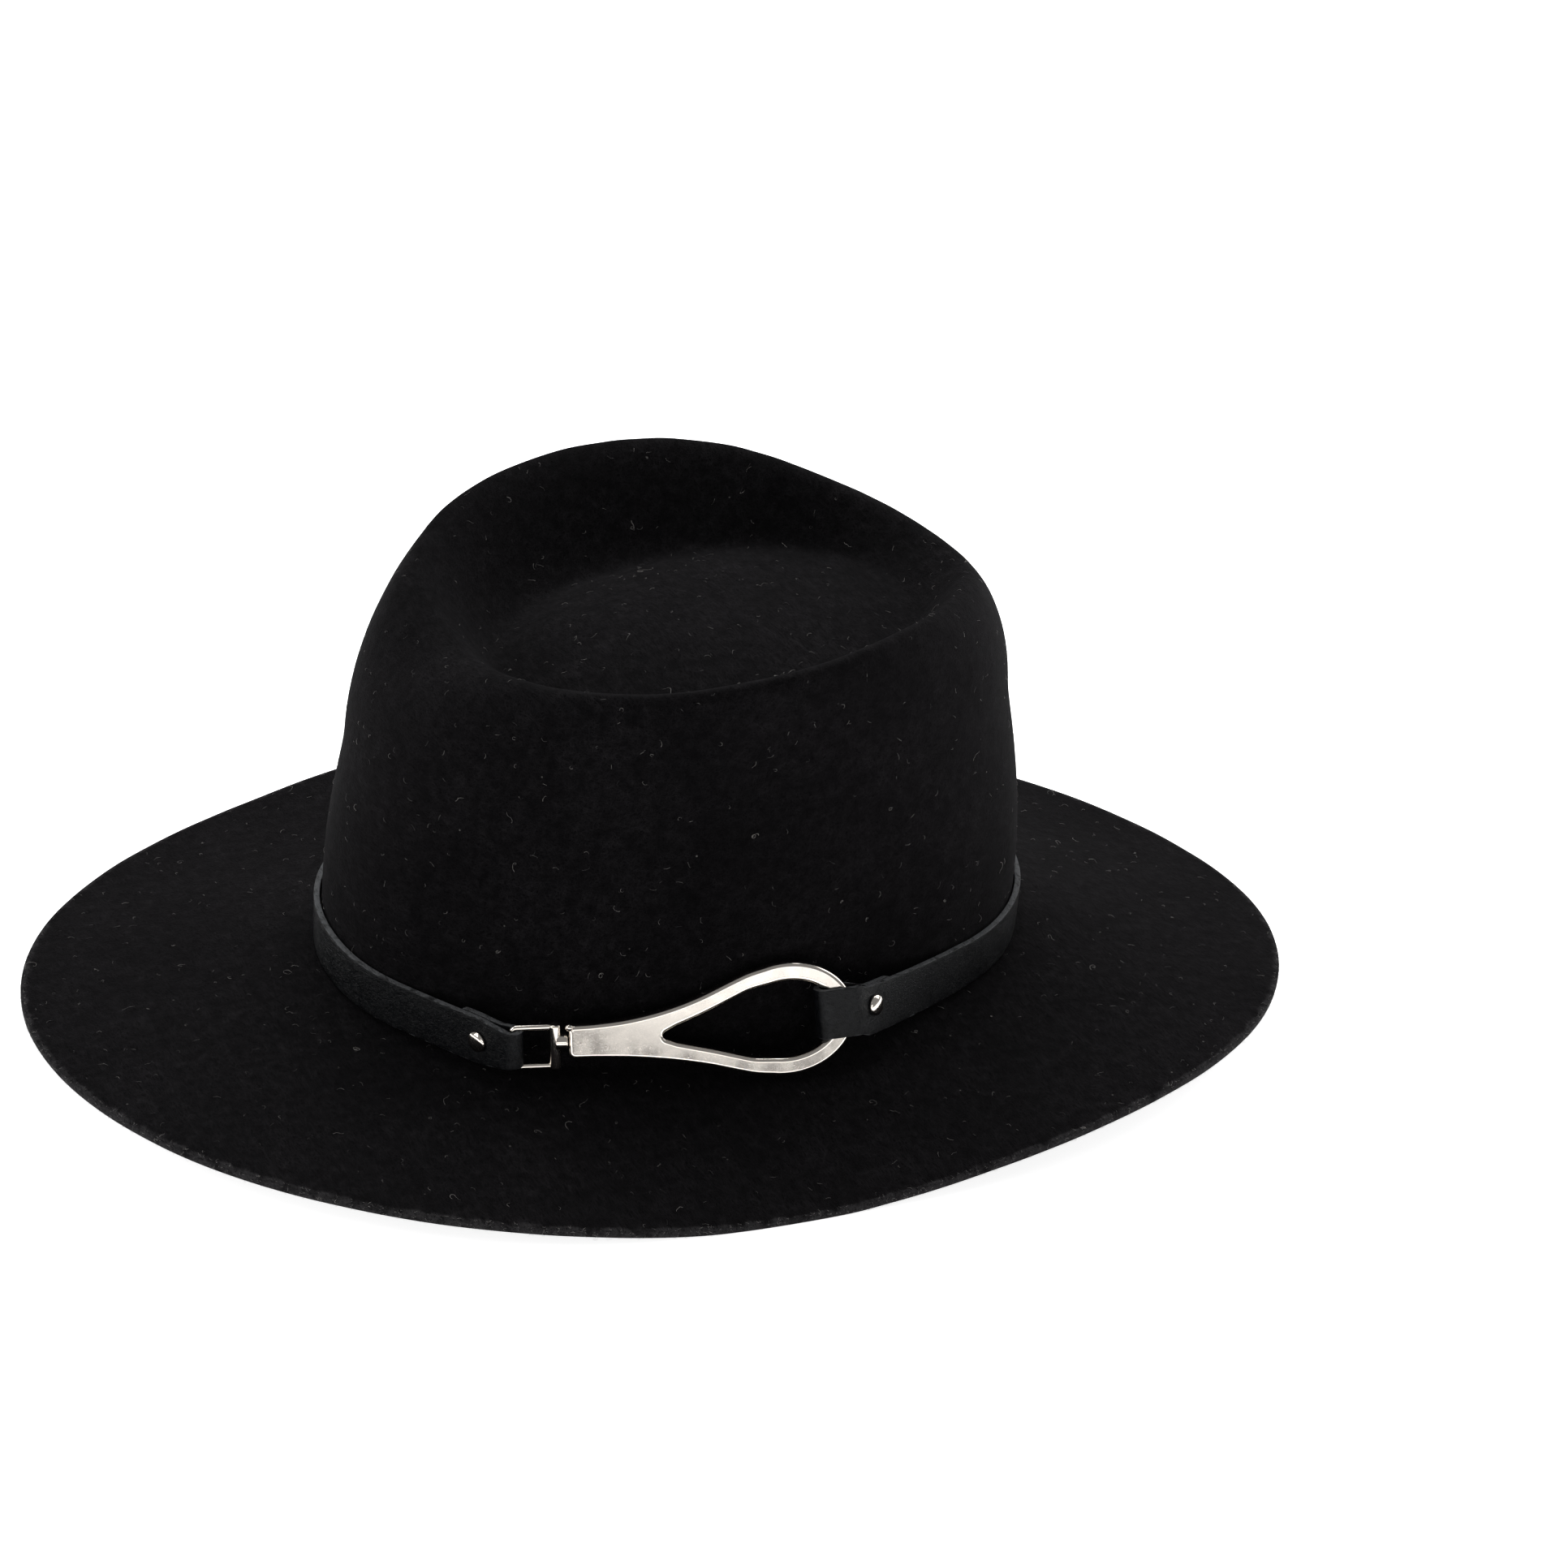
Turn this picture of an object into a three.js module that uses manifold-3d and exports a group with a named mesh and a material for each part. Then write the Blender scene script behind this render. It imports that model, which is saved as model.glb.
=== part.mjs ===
// Wide-brim fedora: crown and brim blocked from one felt, a leather strap round the
// foot of the crown, and a swivel-hook buckle on the hat's right side.
// Millimetres, +Z up, +X towards the hat's front. The brim rests on the plane z = 0,
// and the origin is on that plane under the middle of the hat's outline.
import * as THREE from 'three';
import { mergeVertices } from 'three/addons/utils/BufferGeometryUtils.js';
import Module from 'manifold-3d';

const wasm = await Module();
wasm.setup();

// Driving dimensions. Heights are measured up from the break, where crown meets brim.
const gap = 0.3;
const felt = { thickness: 2.5, steps: 60, breakRadius: 1.2 };
const head = { halfLength: 104, halfWidth: 81.9, squareness: 2.17, egg: -0.01 };
const dent = { middleHeight: 100.5, wallHandle: 0.28, footRise: 0.3 };
const rim = { roundness: 5, handle: 0.55, farSideRise: 2.2 };
const brim = { width: 76.4, frontExtra: 10, shift: -2.1, dip: 0.5 };
const resting = { leanX: 0.785, leanY: -1.32, height: 16.8 };

// Columns by the turn from the front (0) to the back (180); the crown is the same on both
// sides. Crest is the top of the rim, belly the straight wall's swell at half its height,
// and crease the foot of the dent's wall.
const crownStep = 30;
const crownSections = {
  crest: [86.4, 78.8, 77.7, 79.3, 80.1, 77, 70.2],
  crestHeight: [107.8, 114.2, 120.4, 119.2, 114, 108.3, 102.9],
  shoulder: [33.4, 35, 33.3, 33.6, 35.5, 39.9, 40.7],
  taper: [0.065, 0.06, 0.036, 0.028, 0.038, 0.105, 0.105],
  belly: [2.8, 2.65, 0.5, 0, 0.4, 2, 2.1],
  crease: [69, 65, 55.5, 52, 52, 53, 52.5],
  creaseHeight: [99.5, 98.5, 96, 92, 89, 87.5, 87],
};

// The brim's edge rises and falls round the hat as a sum of waves.
const edgeWaves = [
  { order: 0, cosine: -9.3, sine: 0 },
  { order: 1, cosine: -2.76, sine: -1.23 },
  { order: 2, cosine: -1.49, sine: -0.7 },
  { order: 3, cosine: -2.8, sine: -5.23 },
];

// Rings of the felt grid, from the middle of the dent out to the brim's edge.
const rings = {
  floor: [0.35, 0.65, 0.88, 1],
  dentWall: [0.2, 0.4, 0.6, 0.8, 1],
  shoulder: [0.15, 0.3, 0.48, 0.66, 0.83, 1],
  wall: [0.25, 0.5, 0.75, 1],
  breakTurn: [45, 90],
  brim: [0.2, 0.4, 0.6, 0.78, 0.93, 1],
};

const strap = {
  width: 14.1, thickness: 1.8, middle: 7.85, eyeEndWidth: 10.8, foldWidth: 11.6, taperLength: 10,
  eyeTail: 19, ringTail: 17, spreadStart: 7, easeLength: 26, bendSteps: 6,
  crownGap: 0.45, foldGap: 0.5,
};
// Distances from each bar to the stations of the strap's free stretch and of its folded tail.
const stretchStations = {
  eyeTail: [strap.eyeTail, 16, 13, 10, 7, 4.5, 2.5, 1],
  eyeFront: [3, 6.5, strap.taperLength, 14, 20, 27, 36, 45],
  ringFront: [40, 32, 24, strap.ringTail, 13, 9, 5, 2],
  ringTail: [3.4, 7, 10.5, 14, strap.ringTail],
  leastLeft: 3,
};
const rivet = {
  headRadius: 3, headHeight: 1.4, skirt: 0.35, postRadius: 1.2,
  backRadius: 2, backThickness: 0.8, sides: 16, domeAngles: [25, 50, 75],
};
// Place of each rivet by its distance from the bar and from the strap's middle line.
const rivetAt = { eyeEnd: 10, ringEnd: 5.6, ringEndAcross: 1.2 };

// The hook's own axes run along its length, across it and out from the crown. Its ring is
// flat, and its shank bends inwards from bendFrom to follow the crown.
const hook = {
  ringMiddle: [-3.2, -88.9, 14.45], heading: -8, rise: 2.1, lean: 18, thickness: 4.8, bevel: 1.1,
  ringAlong: 62, holeTip: 26.4, tipRadius: 1.1, bendFrom: 40, bendRadius: 200, facetLength: 7,
  socketDepth: 7, socketRadius: 1.6, nubRadius: 1.25, nubAlong: 0.2, nubAcross: 4.3,
  nubOut: 1.6,
};
// The ring and its hole end in half ovals: half length, half width, and the arcs' first
// angle in degrees from the hook's far end.
const ringEnd = { length: 19.9, width: 16.2, from: 105 };
const holeEnd = { length: 14.9, width: 10.9, from: 105 };
// Half width of the hook at places along it, from the swivel to where the ring's arc begins.
const hookSections = [
  { along: 0, half: 4.85 },
  { along: 8, half: 5 },
  { along: 17, half: 5.7 },
  { along: 27, half: 7.3 },
  { along: 37, half: 9.8 },
  { along: 47, half: 13.2 },
  { along: 52, half: 14.75 },
];
// Half width of the teardrop hole between its tip and the ring's arc.
const holeSections = [
  { along: 30, half: 2.3 },
  { along: 37, half: 4.5 },
  { along: 42, half: 6.2 },
  { along: 47, half: 8 },
  { along: 52, half: 9.65 },
];
const arcSteps = 16;

const eye = {
  left: -16.7, right: -2.1, height: 13.8, drop: 1.3, barRadius: 0.95, bevelShare: 0.4, sideBar: 1.15,
  barrelRadius: 1.7, collarRadius: 2.4, pinRadius: 1.3, pinLength: 8,
};

// Middle line of the strap's bend round the ring, in the plane across the ring's bar.
const ringBend = [
  { along: 79.4, out: 3.6 },
  { along: 75.6, out: 3.6 },
  { along: 73.5, out: 3.4 },
  { along: 72.2, out: 2.4 },
  { along: 71.9, out: 0 },
  { along: 72.2, out: -2.4 },
  { along: 73.5, out: -3.4 },
  { along: 76.5, out: -3.6 },
  { along: 81.6, out: -3.6 },
];
const ringCorner = { along: 80.9, out: -0.6, radius: 4.2, steps: 3 };

// Sides of the small round forms, points per table row on a smooth outline, and the
// fineness of the search for the turns where the strap leaves the crown.
const sides = { rod: 12, collar: 16, rivetHole: 10, nubRound: 8, nubUpright: 6 };
const outlineDensity = 2;
const leaving = { steps: 40, eye: [180, 240], ring: [-20, -90], leastTurn: 1 };
const weldDistance = 1e-4;
const tangentStep = 0.5;

const degrees = Math.PI / 180;
const up = new THREE.Vector3(0, 0, 1);

const materials = {
  felt: new THREE.MeshStandardMaterial({ color: 0x0b0a0d, roughness: 0.95, metalness: 0 }),
  leather: new THREE.MeshStandardMaterial({ color: 0x121316, roughness: 0.5, metalness: 0 }),
  nickel: new THREE.MeshStandardMaterial({ color: 0xc9c2b8, roughness: 0.12, metalness: 1 }),
};

/** Smooth curve through four even values, between the middle two. */
function between(before, from, to, after, k) {
  const slopeFrom = (to - before) / 2;
  const slopeTo = (after - from) / 2;
  const square = k * k;
  const cube = square * k;
  return (2 * cube - 3 * square + 1) * from + (cube - 2 * square + k) * slopeFrom
    + (3 * square - 2 * cube) * to + (cube - square) * slopeTo;
}

/** A column of the crown's table at any turn, in degrees. */
function crownAt(column, turn) {
  const folded = Math.abs(((turn + 900) % 360) - 180);
  const values = crownSections[column];
  const last = values.length - 1;
  const place = folded / crownStep;
  const row = Math.min(Math.floor(place), last - 1);
  const value = (i) => values[i > last ? 2 * last - i : Math.abs(i)];
  return between(value(row - 1), value(row), value(row + 1), value(row + 2), place - row);
}

/** Distance from the head's middle to the foot of the crown. */
function headRadius(turn) {
  const c = Math.cos(turn * degrees);
  const s = Math.sin(turn * degrees);
  const power = head.squareness;
  const sum = Math.abs(c / head.halfLength) ** power + Math.abs(s / head.halfWidth) ** power;
  return sum ** (-1 / power) * (1 + head.egg * c ** 3);
}

/** Point on the head's oval, in plan. */
function headPoint(turn) {
  const r = headRadius(turn);
  return new THREE.Vector3(r * Math.cos(turn * degrees), r * Math.sin(turn * degrees), 0);
}

/** Direction of growing turn along the head's oval. */
function headTangent(turn) {
  return headPoint(turn + tangentStep).sub(headPoint(turn - tangentStep)).normalize();
}

/** Direction straight out from the head's oval, in plan. */
function headNormal(turn) {
  return headTangent(turn).cross(up);
}

/** Point on a cubic curve in the (out, up) plane. */
function cubicPoint(points, k) {
  const curve = new THREE.CubicBezierCurve(...points.map(([x, y]) => new THREE.Vector2(x, y)));
  return curve.getPoint(k);
}

/** Height of the brim's edge, by turn. */
function edgeHeight(turn) {
  let height = 0;
  for (const wave of edgeWaves) {
    const angle = wave.order * turn * degrees;
    height += wave.cosine * Math.cos(angle) + wave.sine * Math.sin(angle);
  }
  return height;
}

/** How far the straight wall stands out from the foot of the crown, at a height. */
function wallAway(turn, height) {
  const top = crownAt('crestHeight', turn) - crownAt('shoulder', turn);
  const share = (top - height) / (top - felt.breakRadius);
  return crownAt('belly', turn) * Math.sin(Math.PI * share) - crownAt('taper', turn) * height;
}

/** Radius and height of each ring on the crown, from the dent's floor to the break. */
function crownProfile(turn) {
  const crest = crownAt('crest', turn);
  const top = crownAt('crestHeight', turn) + rim.farSideRise * Math.sin(turn * degrees);
  const crease = crownAt('crease', turn);
  const foot = crownAt('creaseHeight', turn);
  const shoulder = crownAt('shoulder', turn);
  const base = headRadius(turn);
  const wallTop = crownAt('crestHeight', turn) - shoulder;
  const wallRadius = base + wallAway(turn, wallTop);
  const points = rings.floor.map((q) => [crease * q, foot + (dent.middleHeight - foot) * (1 - q * q)]);
  const inward = (crest - crease) * dent.wallHandle;
  const dentWall = [
    [crease, foot], [crease + inward, foot + inward * dent.footRise], [crest - inward, top], [crest, top],
  ];
  const outward = Math.max((wallRadius - crest) * rim.handle, rim.roundness);
  const side = [
    [crest, top], [crest + outward, top],
    [wallRadius, wallTop + shoulder * rim.handle], [wallRadius, wallTop],
  ];
  for (const k of rings.dentWall) points.push(cubicPoint(dentWall, k).toArray());
  for (const k of rings.shoulder) points.push(cubicPoint(side, k).toArray());
  for (const k of rings.wall) {
    const height = THREE.MathUtils.lerp(wallTop, felt.breakRadius, k);
    points.push([base + wallAway(turn, height), height]);
  }
  return points;
}

/** Points of the felt's upper surface at one turn, from the dent's floor to the brim's edge. */
function feltSection(turn) {
  const outwards = new THREE.Vector3(Math.cos(turn * degrees), Math.sin(turn * degrees), 0);
  const points = crownProfile(turn).map(([r, z]) => outwards.clone().multiplyScalar(r).setZ(z));
  const foot = headPoint(turn);
  const normal = headNormal(turn);
  const width = brim.width + brim.frontExtra * Math.cos(2 * turn * degrees);
  const onBrim = (q) => {
    const point = foot.clone().addScaledVector(normal, width * q);
    point.x += brim.shift * q;
    return point.setZ(edgeHeight(turn) * (q + brim.dip * q * (1 - q)));
  };
  for (const angle of rings.breakTurn) {
    const away = felt.breakRadius * (1 - Math.cos(angle * degrees));
    const drop = felt.breakRadius * (1 - Math.sin(angle * degrees));
    const point = onBrim(away / width);
    points.push(point.setZ(point.z + drop));
  }
  for (const q of rings.brim) points.push(onBrim(q));
  return points;
}

/** Turns the points into a geometry with shared corners. */
function indexedGeometry(points, faces) {
  const geometry = new THREE.BufferGeometry();
  const places = points.flatMap((point) => point.toArray());
  geometry.setAttribute('position', new THREE.Float32BufferAttribute(places, 3));
  geometry.setIndex(faces.flat());
  return geometry;
}

/** Lean and height of the hat on the plane that it rests on, before it is centred. */
function restingPose() {
  const lean = new THREE.Euler(resting.leanX * degrees, resting.leanY * degrees, 0);
  return new THREE.Matrix4().makeRotationFromEuler(lean).setPosition(0, 0, resting.height);
}

/** Triangles of one surface of the felt: a fan in the middle and bands out to the edge. */
function sheetFaces(count, first) {
  const faces = [];
  const at = (ring, step) => first + 1 + ring * felt.steps + (step % felt.steps);
  for (let step = 0; step < felt.steps; step += 1) {
    faces.push([first, at(0, step), at(0, step + 1)]);
    for (let ring = 0; ring + 1 < count; ring += 1) {
      faces.push([at(ring, step), at(ring + 1, step), at(ring + 1, step + 1)]);
      faces.push([at(ring, step), at(ring + 1, step + 1), at(ring, step + 1)]);
    }
  }
  return faces;
}

/** The blocked felt: upper surface, lower surface one thickness inside it, and the cut edge. */
function feltGeometry(pose) {
  const sections = Array.from({ length: felt.steps }, (_, i) => feltSection((i * 360) / felt.steps));
  const count = sections[0].length;
  const upper = [new THREE.Vector3(0, 0, dent.middleHeight)];
  for (let ring = 0; ring < count; ring += 1) upper.push(...sections.map((section) => section[ring]));
  upper.forEach((point) => point.applyMatrix4(pose));
  const sheet = indexedGeometry(upper, sheetFaces(count, 0));
  sheet.computeVertexNormals();
  const lower = upper.map((point, i) => {
    const normal = new THREE.Vector3().fromBufferAttribute(sheet.attributes.normal, i);
    const inside = point.clone().addScaledVector(normal, -felt.thickness);
    return inside.setZ(Math.max(inside.z, 0));
  });
  const faces = sheetFaces(count, 0);
  for (const [a, b, c] of sheetFaces(count, upper.length)) faces.push([a, c, b]);
  const edge = 1 + (count - 1) * felt.steps;
  for (let step = 0; step < felt.steps; step += 1) {
    const a = edge + step;
    const b = edge + ((step + 1) % felt.steps);
    faces.push([a, a + upper.length, b + upper.length], [a, b + upper.length, b]);
  }
  return indexedGeometry([...upper, ...lower], faces);
}

/** Moves the resting hat so that its outline is centred on the origin. */
function centredPose() {
  const pose = restingPose();
  const geometry = feltGeometry(pose);
  geometry.computeBoundingBox();
  const middle = geometry.boundingBox.getCenter(new THREE.Vector3());
  return pose.premultiply(new THREE.Matrix4().makeTranslation(-middle.x, -middle.y, 0));
}

/** Axes of the hook in the hat: along its length, across it, and out from the crown. */
function hookAxes() {
  const heading = hook.heading * degrees;
  const rise = Math.tan(hook.rise * degrees);
  const along = new THREE.Vector3(Math.cos(heading), Math.sin(heading), rise).normalize();
  const upright = up.clone().addScaledVector(along, -along.z).normalize();
  const across = upright.applyAxisAngle(along, -hook.lean * degrees);
  return { along, across, out: along.clone().cross(across) };
}

/** Matrix from a buckle piece's own axes to the hat. */
function buckleMatrix(origin, along, across) {
  return new THREE.Matrix4().makeBasis(along, across, along.clone().cross(across)).setPosition(origin);
}

/** Moves a point of the flat hook to where it lies once the shank is bent about the upright. */
function bendShank(point) {
  if (point.x < hook.bendFrom) {
    const angle = (point.x - hook.bendFrom) / hook.bendRadius;
    point.setX(0).sub(bendCentre).applyAxisAngle(bendAxis, angle).add(bendCentre);
    point.x += hook.bendFrom;
  }
  return point;
}

/** Makes a solid of a closed geometry. */
function solidOf(geometry) {
  const plain = geometry.clone();
  plain.deleteAttribute('normal');
  plain.deleteAttribute('uv');
  const merged = mergeVertices(plain, weldDistance);
  return new wasm.Manifold(new wasm.Mesh({
    numProp: 3,
    vertProperties: merged.attributes.position.array,
    triVerts: new Uint32Array(merged.index.array),
  }));
}

/** Makes a geometry of a solid. */
function geometryOf(solid) {
  const mesh = solid.getMesh();
  const geometry = new THREE.BufferGeometry();
  geometry.setAttribute('position', new THREE.Float32BufferAttribute(mesh.vertProperties, 3));
  geometry.setIndex(Array.from(mesh.triVerts));
  return geometry;
}

/** A cylinder along the length axis, between two places. */
function rodAlong(radius, from, to, sides) {
  const rod = new THREE.CylinderGeometry(radius, radius, to - from, sides);
  return rod.rotateZ(Math.PI / 2).translate((from + to) / 2, 0, 0);
}

/** Outline points: a smooth side through the table's rows, the oval end, and the mirrored side. */
function teardropOutline(first, sections, { length, width, from }) {
  const start = from * degrees;
  const onOval = (angle) => new THREE.Vector2(
    hook.ringAlong + length * Math.cos(angle), width * Math.sin(angle),
  );
  const side = [...first, ...sections.map((row) => new THREE.Vector2(row.along, row.half)), onOval(start)];
  const upperSide = new THREE.SplineCurve(side).getPoints(side.length * outlineDensity);
  const arc = [];
  for (let i = 1; i < arcSteps; i += 1) arc.push(onOval(start * (1 - (2 * i) / arcSteps)));
  const lowerSide = upperSide.map((p) => new THREE.Vector2(p.x, -p.y)).reverse();
  return [...upperSide, ...arc, ...lowerSide];
}

/** The hook: shank and teardrop ring, with a socket for the swivel's pin and a small nub. */
function hookGeometry() {
  const outline = teardropOutline([], hookSections, ringEnd);
  const tip = [new THREE.Vector2(hook.holeTip + hook.tipRadius, hook.tipRadius)];
  const hole = teardropOutline(tip, holeSections, holeEnd);
  const shape = new THREE.Shape(outline.reverse());
  shape.holes.push(new THREE.Path([new THREE.Vector2(hook.holeTip, 0), ...hole]));
  const plate = new THREE.ExtrudeGeometry(shape, {
    depth: hook.thickness - 2 * hook.bevel, bevelThickness: hook.bevel, bevelSize: hook.bevel,
    bevelOffset: -hook.bevel, bevelSegments: 2,
  });
  plate.translate(0, 0, hook.bevel - hook.thickness / 2);
  const nub = new THREE.SphereGeometry(hook.nubRadius, sides.nubRound, sides.nubUpright);
  nub.translate(hook.nubAlong, hook.nubAcross, hook.nubOut);
  const bent = solidOf(plate).add(solidOf(nub)).refineToLength(hook.facetLength).warp((vertex) => {
    bendShank(new THREE.Vector3(...vertex)).toArray(vertex);
  });
  const socket = rodAlong(hook.socketRadius, -hook.socketRadius, hook.socketDepth, sides.rod);
  return geometryOf(bent.subtract(solidOf(socket.applyMatrix4(swivelInHook))));
}

/** The swivel eye: a square frame, its barrel, a collar and the pin that turns in the hook. */
function eyeGeometry() {
  const half = eye.height / 2;
  const frameShape = new THREE.Shape([
    new THREE.Vector2(eye.left, -half), new THREE.Vector2(eye.right, -half),
    new THREE.Vector2(eye.right, half), new THREE.Vector2(eye.left, half),
  ]);
  const windowLeft = eye.left + 2 * eye.barRadius;
  const windowRight = eye.right - eye.barrelRadius;
  const inner = half - eye.sideBar;
  frameShape.holes.push(new THREE.Path([
    new THREE.Vector2(windowLeft, -inner), new THREE.Vector2(windowRight, -inner),
    new THREE.Vector2(windowRight, inner), new THREE.Vector2(windowLeft, inner),
  ]));
  const bevel = eye.barRadius * eye.bevelShare;
  const frame = new THREE.ExtrudeGeometry(frameShape, {
    depth: 2 * (eye.barRadius - bevel), bevelThickness: bevel, bevelSize: bevel,
    bevelOffset: -bevel, bevelSegments: 1,
  }).translate(0, -eye.drop, bevel - eye.barRadius);
  const barrel = new THREE.CylinderGeometry(eye.barrelRadius, eye.barrelRadius, eye.height, sides.rod);
  barrel.translate(eye.right - eye.barrelRadius, -eye.drop, 0);
  const axis = eye.right - eye.barrelRadius;
  const collar = rodAlong(eye.collarRadius, axis, -gap, sides.collar);
  const pin = rodAlong(eye.pinRadius, axis, eye.right + eye.pinLength, sides.rod);
  return geometryOf(solidOf(frame).add(solidOf(barrel)).add(solidOf(collar)).add(solidOf(pin)));
}

/** Middle line of the strap where it lies on the crown. */
function onCrown(turn, rise) {
  const height = strap.middle + rise;
  const half = strap.width / 2;
  const slope = (wallAway(turn, height + half) - wallAway(turn, height - half)) / strap.width;
  const normal = headNormal(turn);
  const away = strap.crownGap + strap.thickness / 2 + wallAway(turn, height);
  const centre = headPoint(turn).addScaledVector(normal, away).setZ(height);
  const across = up.clone().addScaledVector(normal, slope).normalize();
  return { centre, across, out: normal };
}

/** Turn at which the strap leaves the crown for a bar that it passes at a given distance. */
function leavingTurn(bar, distance, [near, far]) {
  let inside = near;
  let outside = far;
  for (let i = 0; i < leaving.steps; i += 1) {
    const turn = (inside + outside) / 2;
    const { centre, out } = onCrown(turn, 0);
    const reach = bar.clone().sub(centre).dot(out) + distance;
    if (reach > 0) outside = turn;
    else inside = turn;
  }
  return (inside + outside) / 2;
}

/** The strap between the crown and a bar: straight in plan, easing up to the bar's height. */
function freeStretch(bar, distance, turn, acrossAtBar) {
  const leave = onCrown(turn, 0);
  const start = bar.clone().addScaledVector(leave.out, distance);
  const length = Math.hypot(start.x - leave.centre.x, start.y - leave.centre.y);
  const whole = length + strap.easeLength;
  const rise = bar.z - strap.middle;
  const level = leave.centre.clone().sub(start).setZ(0).normalize();
  const aheadAt = (s) => level.clone().setZ((-2 * rise * (1 - s / whole)) / whole).normalize();
  const barAcross = acrossAtBar(aheadAt(0));
  const at = (s) => {
    const ease = (1 - s / whole) ** 2;
    const centre = start.clone().lerp(leave.centre, s / length).setZ(strap.middle + rise * ease);
    const ahead = aheadAt(s);
    const across = leave.across.clone().lerp(barAcross, ease);
    across.addScaledVector(ahead, -across.dot(ahead)).normalize();
    const out = across.clone().cross(ahead);
    if (out.dot(leave.out) < 0) out.negate();
    return { centre, across, out, ahead };
  };
  return { at, length, riseAt: (s) => rise * Math.max(1 - s / whole, 0) ** 2 };
}

const hookFrame = hookAxes();
const hookOrigin = new THREE.Vector3(...hook.ringMiddle).addScaledVector(hookFrame.along, -hook.ringAlong);
const hookPose = buckleMatrix(hookOrigin, hookFrame.along, hookFrame.across);
const bendAxis = new THREE.Vector3(0, Math.cos(hook.lean * degrees), Math.sin(hook.lean * degrees));
const bendCentre = bendAxis.clone().cross(new THREE.Vector3(hook.bendRadius, 0, 0));
const swivelInHook = new THREE.Matrix4().makeRotationAxis(bendAxis, -hook.bendFrom / hook.bendRadius);
swivelInHook.setPosition(bendShank(new THREE.Vector3()));
const swivelPose = hookPose.clone().multiply(swivelInHook);
const swivelOrigin = new THREE.Vector3().setFromMatrixPosition(swivelPose);
const swivelAlong = new THREE.Vector3().setFromMatrixColumn(swivelPose, 0);
const eyeBar = swivelOrigin.clone().addScaledVector(swivelAlong, eye.left + eye.barRadius);
eyeBar.addScaledVector(up, -eye.drop);
const eyeWrap = eye.barRadius + strap.foldGap + strap.thickness / 2;
const eyeTurn = leavingTurn(eyeBar, eyeWrap, leaving.eye);
const squareToStrap = (ahead) => swivelAlong.clone().cross(ahead).normalize();
const eyeStretch = freeStretch(eyeBar, eyeWrap, eyeTurn, squareToStrap);
const eyePose = buckleMatrix(swivelOrigin, swivelAlong, squareToStrap(eyeStretch.at(0).ahead));
const cornerPoint = new THREE.Vector3(ringCorner.along, 0, ringCorner.out).applyMatrix4(hookPose);
const ringTurn = leavingTurn(cornerPoint, ringCorner.radius, leaving.ring);
const ringStretch = freeStretch(cornerPoint, ringCorner.radius, ringTurn, () => hookFrame.across);
const layerPitch = strap.thickness + gap;

/** Width of the strap by distance from the eye's bar. */
function widthNearEye(s) {
  return THREE.MathUtils.lerp(strap.foldWidth, strap.width, Math.min(s / strap.taperLength, 1));
}

/** Stations of the strap's end at the eye, from its cut tail round the bar to the crown. */
function eyeEndStations() {
  const stations = [];
  for (const s of stretchStations.eyeTail) {
    const { centre, across, out } = eyeStretch.at(s);
    const spread = (2 * eyeWrap - layerPitch) * Math.max(1 - s / strap.spreadStart, 0) ** 2;
    centre.addScaledVector(out, -layerPitch - spread);
    stations.push({ centre, across, out: out.negate(), width: widthNearEye(s) });
  }
  const { across, out, ahead } = eyeStretch.at(0);
  for (let i = 0; i <= strap.bendSteps; i += 1) {
    const angle = (Math.PI * i) / strap.bendSteps;
    const facing = out.clone().multiplyScalar(-Math.cos(angle)).addScaledVector(ahead, -Math.sin(angle));
    const centre = eyeBar.clone().addScaledVector(facing, eyeWrap);
    const inWindow = i < strap.bendSteps;
    stations.push({ centre, across, out: facing, width: inWindow ? strap.eyeEndWidth : strap.foldWidth });
  }
  for (const s of stretchStations.eyeFront) {
    if (s > eyeStretch.length - stretchStations.leastLeft) break;
    stations.push({ ...eyeStretch.at(s), width: widthNearEye(s) });
  }
  return stations;
}

/** Stations where the strap lies on the crown, at the same turns as the felt's own grid. */
function crownStations() {
  const stride = 360 / felt.steps;
  const turns = [eyeTurn];
  for (let turn = Math.floor(eyeTurn / stride) * stride; turn > ringTurn; turn -= stride) {
    const fromEnds = Math.min(Math.abs(turn - eyeTurn), Math.abs(turn - ringTurn));
    if (fromEnds > leaving.leastTurn) turns.push(turn);
  }
  turns.push(ringTurn);
  return turns.map((turn) => {
    const fromEye = (eyeTurn - turn) * degrees * head.halfLength;
    const fromRing = (turn - ringTurn) * degrees * head.halfWidth;
    const eyeRise = eyeStretch.riseAt(eyeStretch.length + fromEye);
    const ringRise = ringStretch.riseAt(ringStretch.length + fromRing);
    return { ...onCrown(turn, eyeRise + ringRise), width: strap.width };
  });
}

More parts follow.
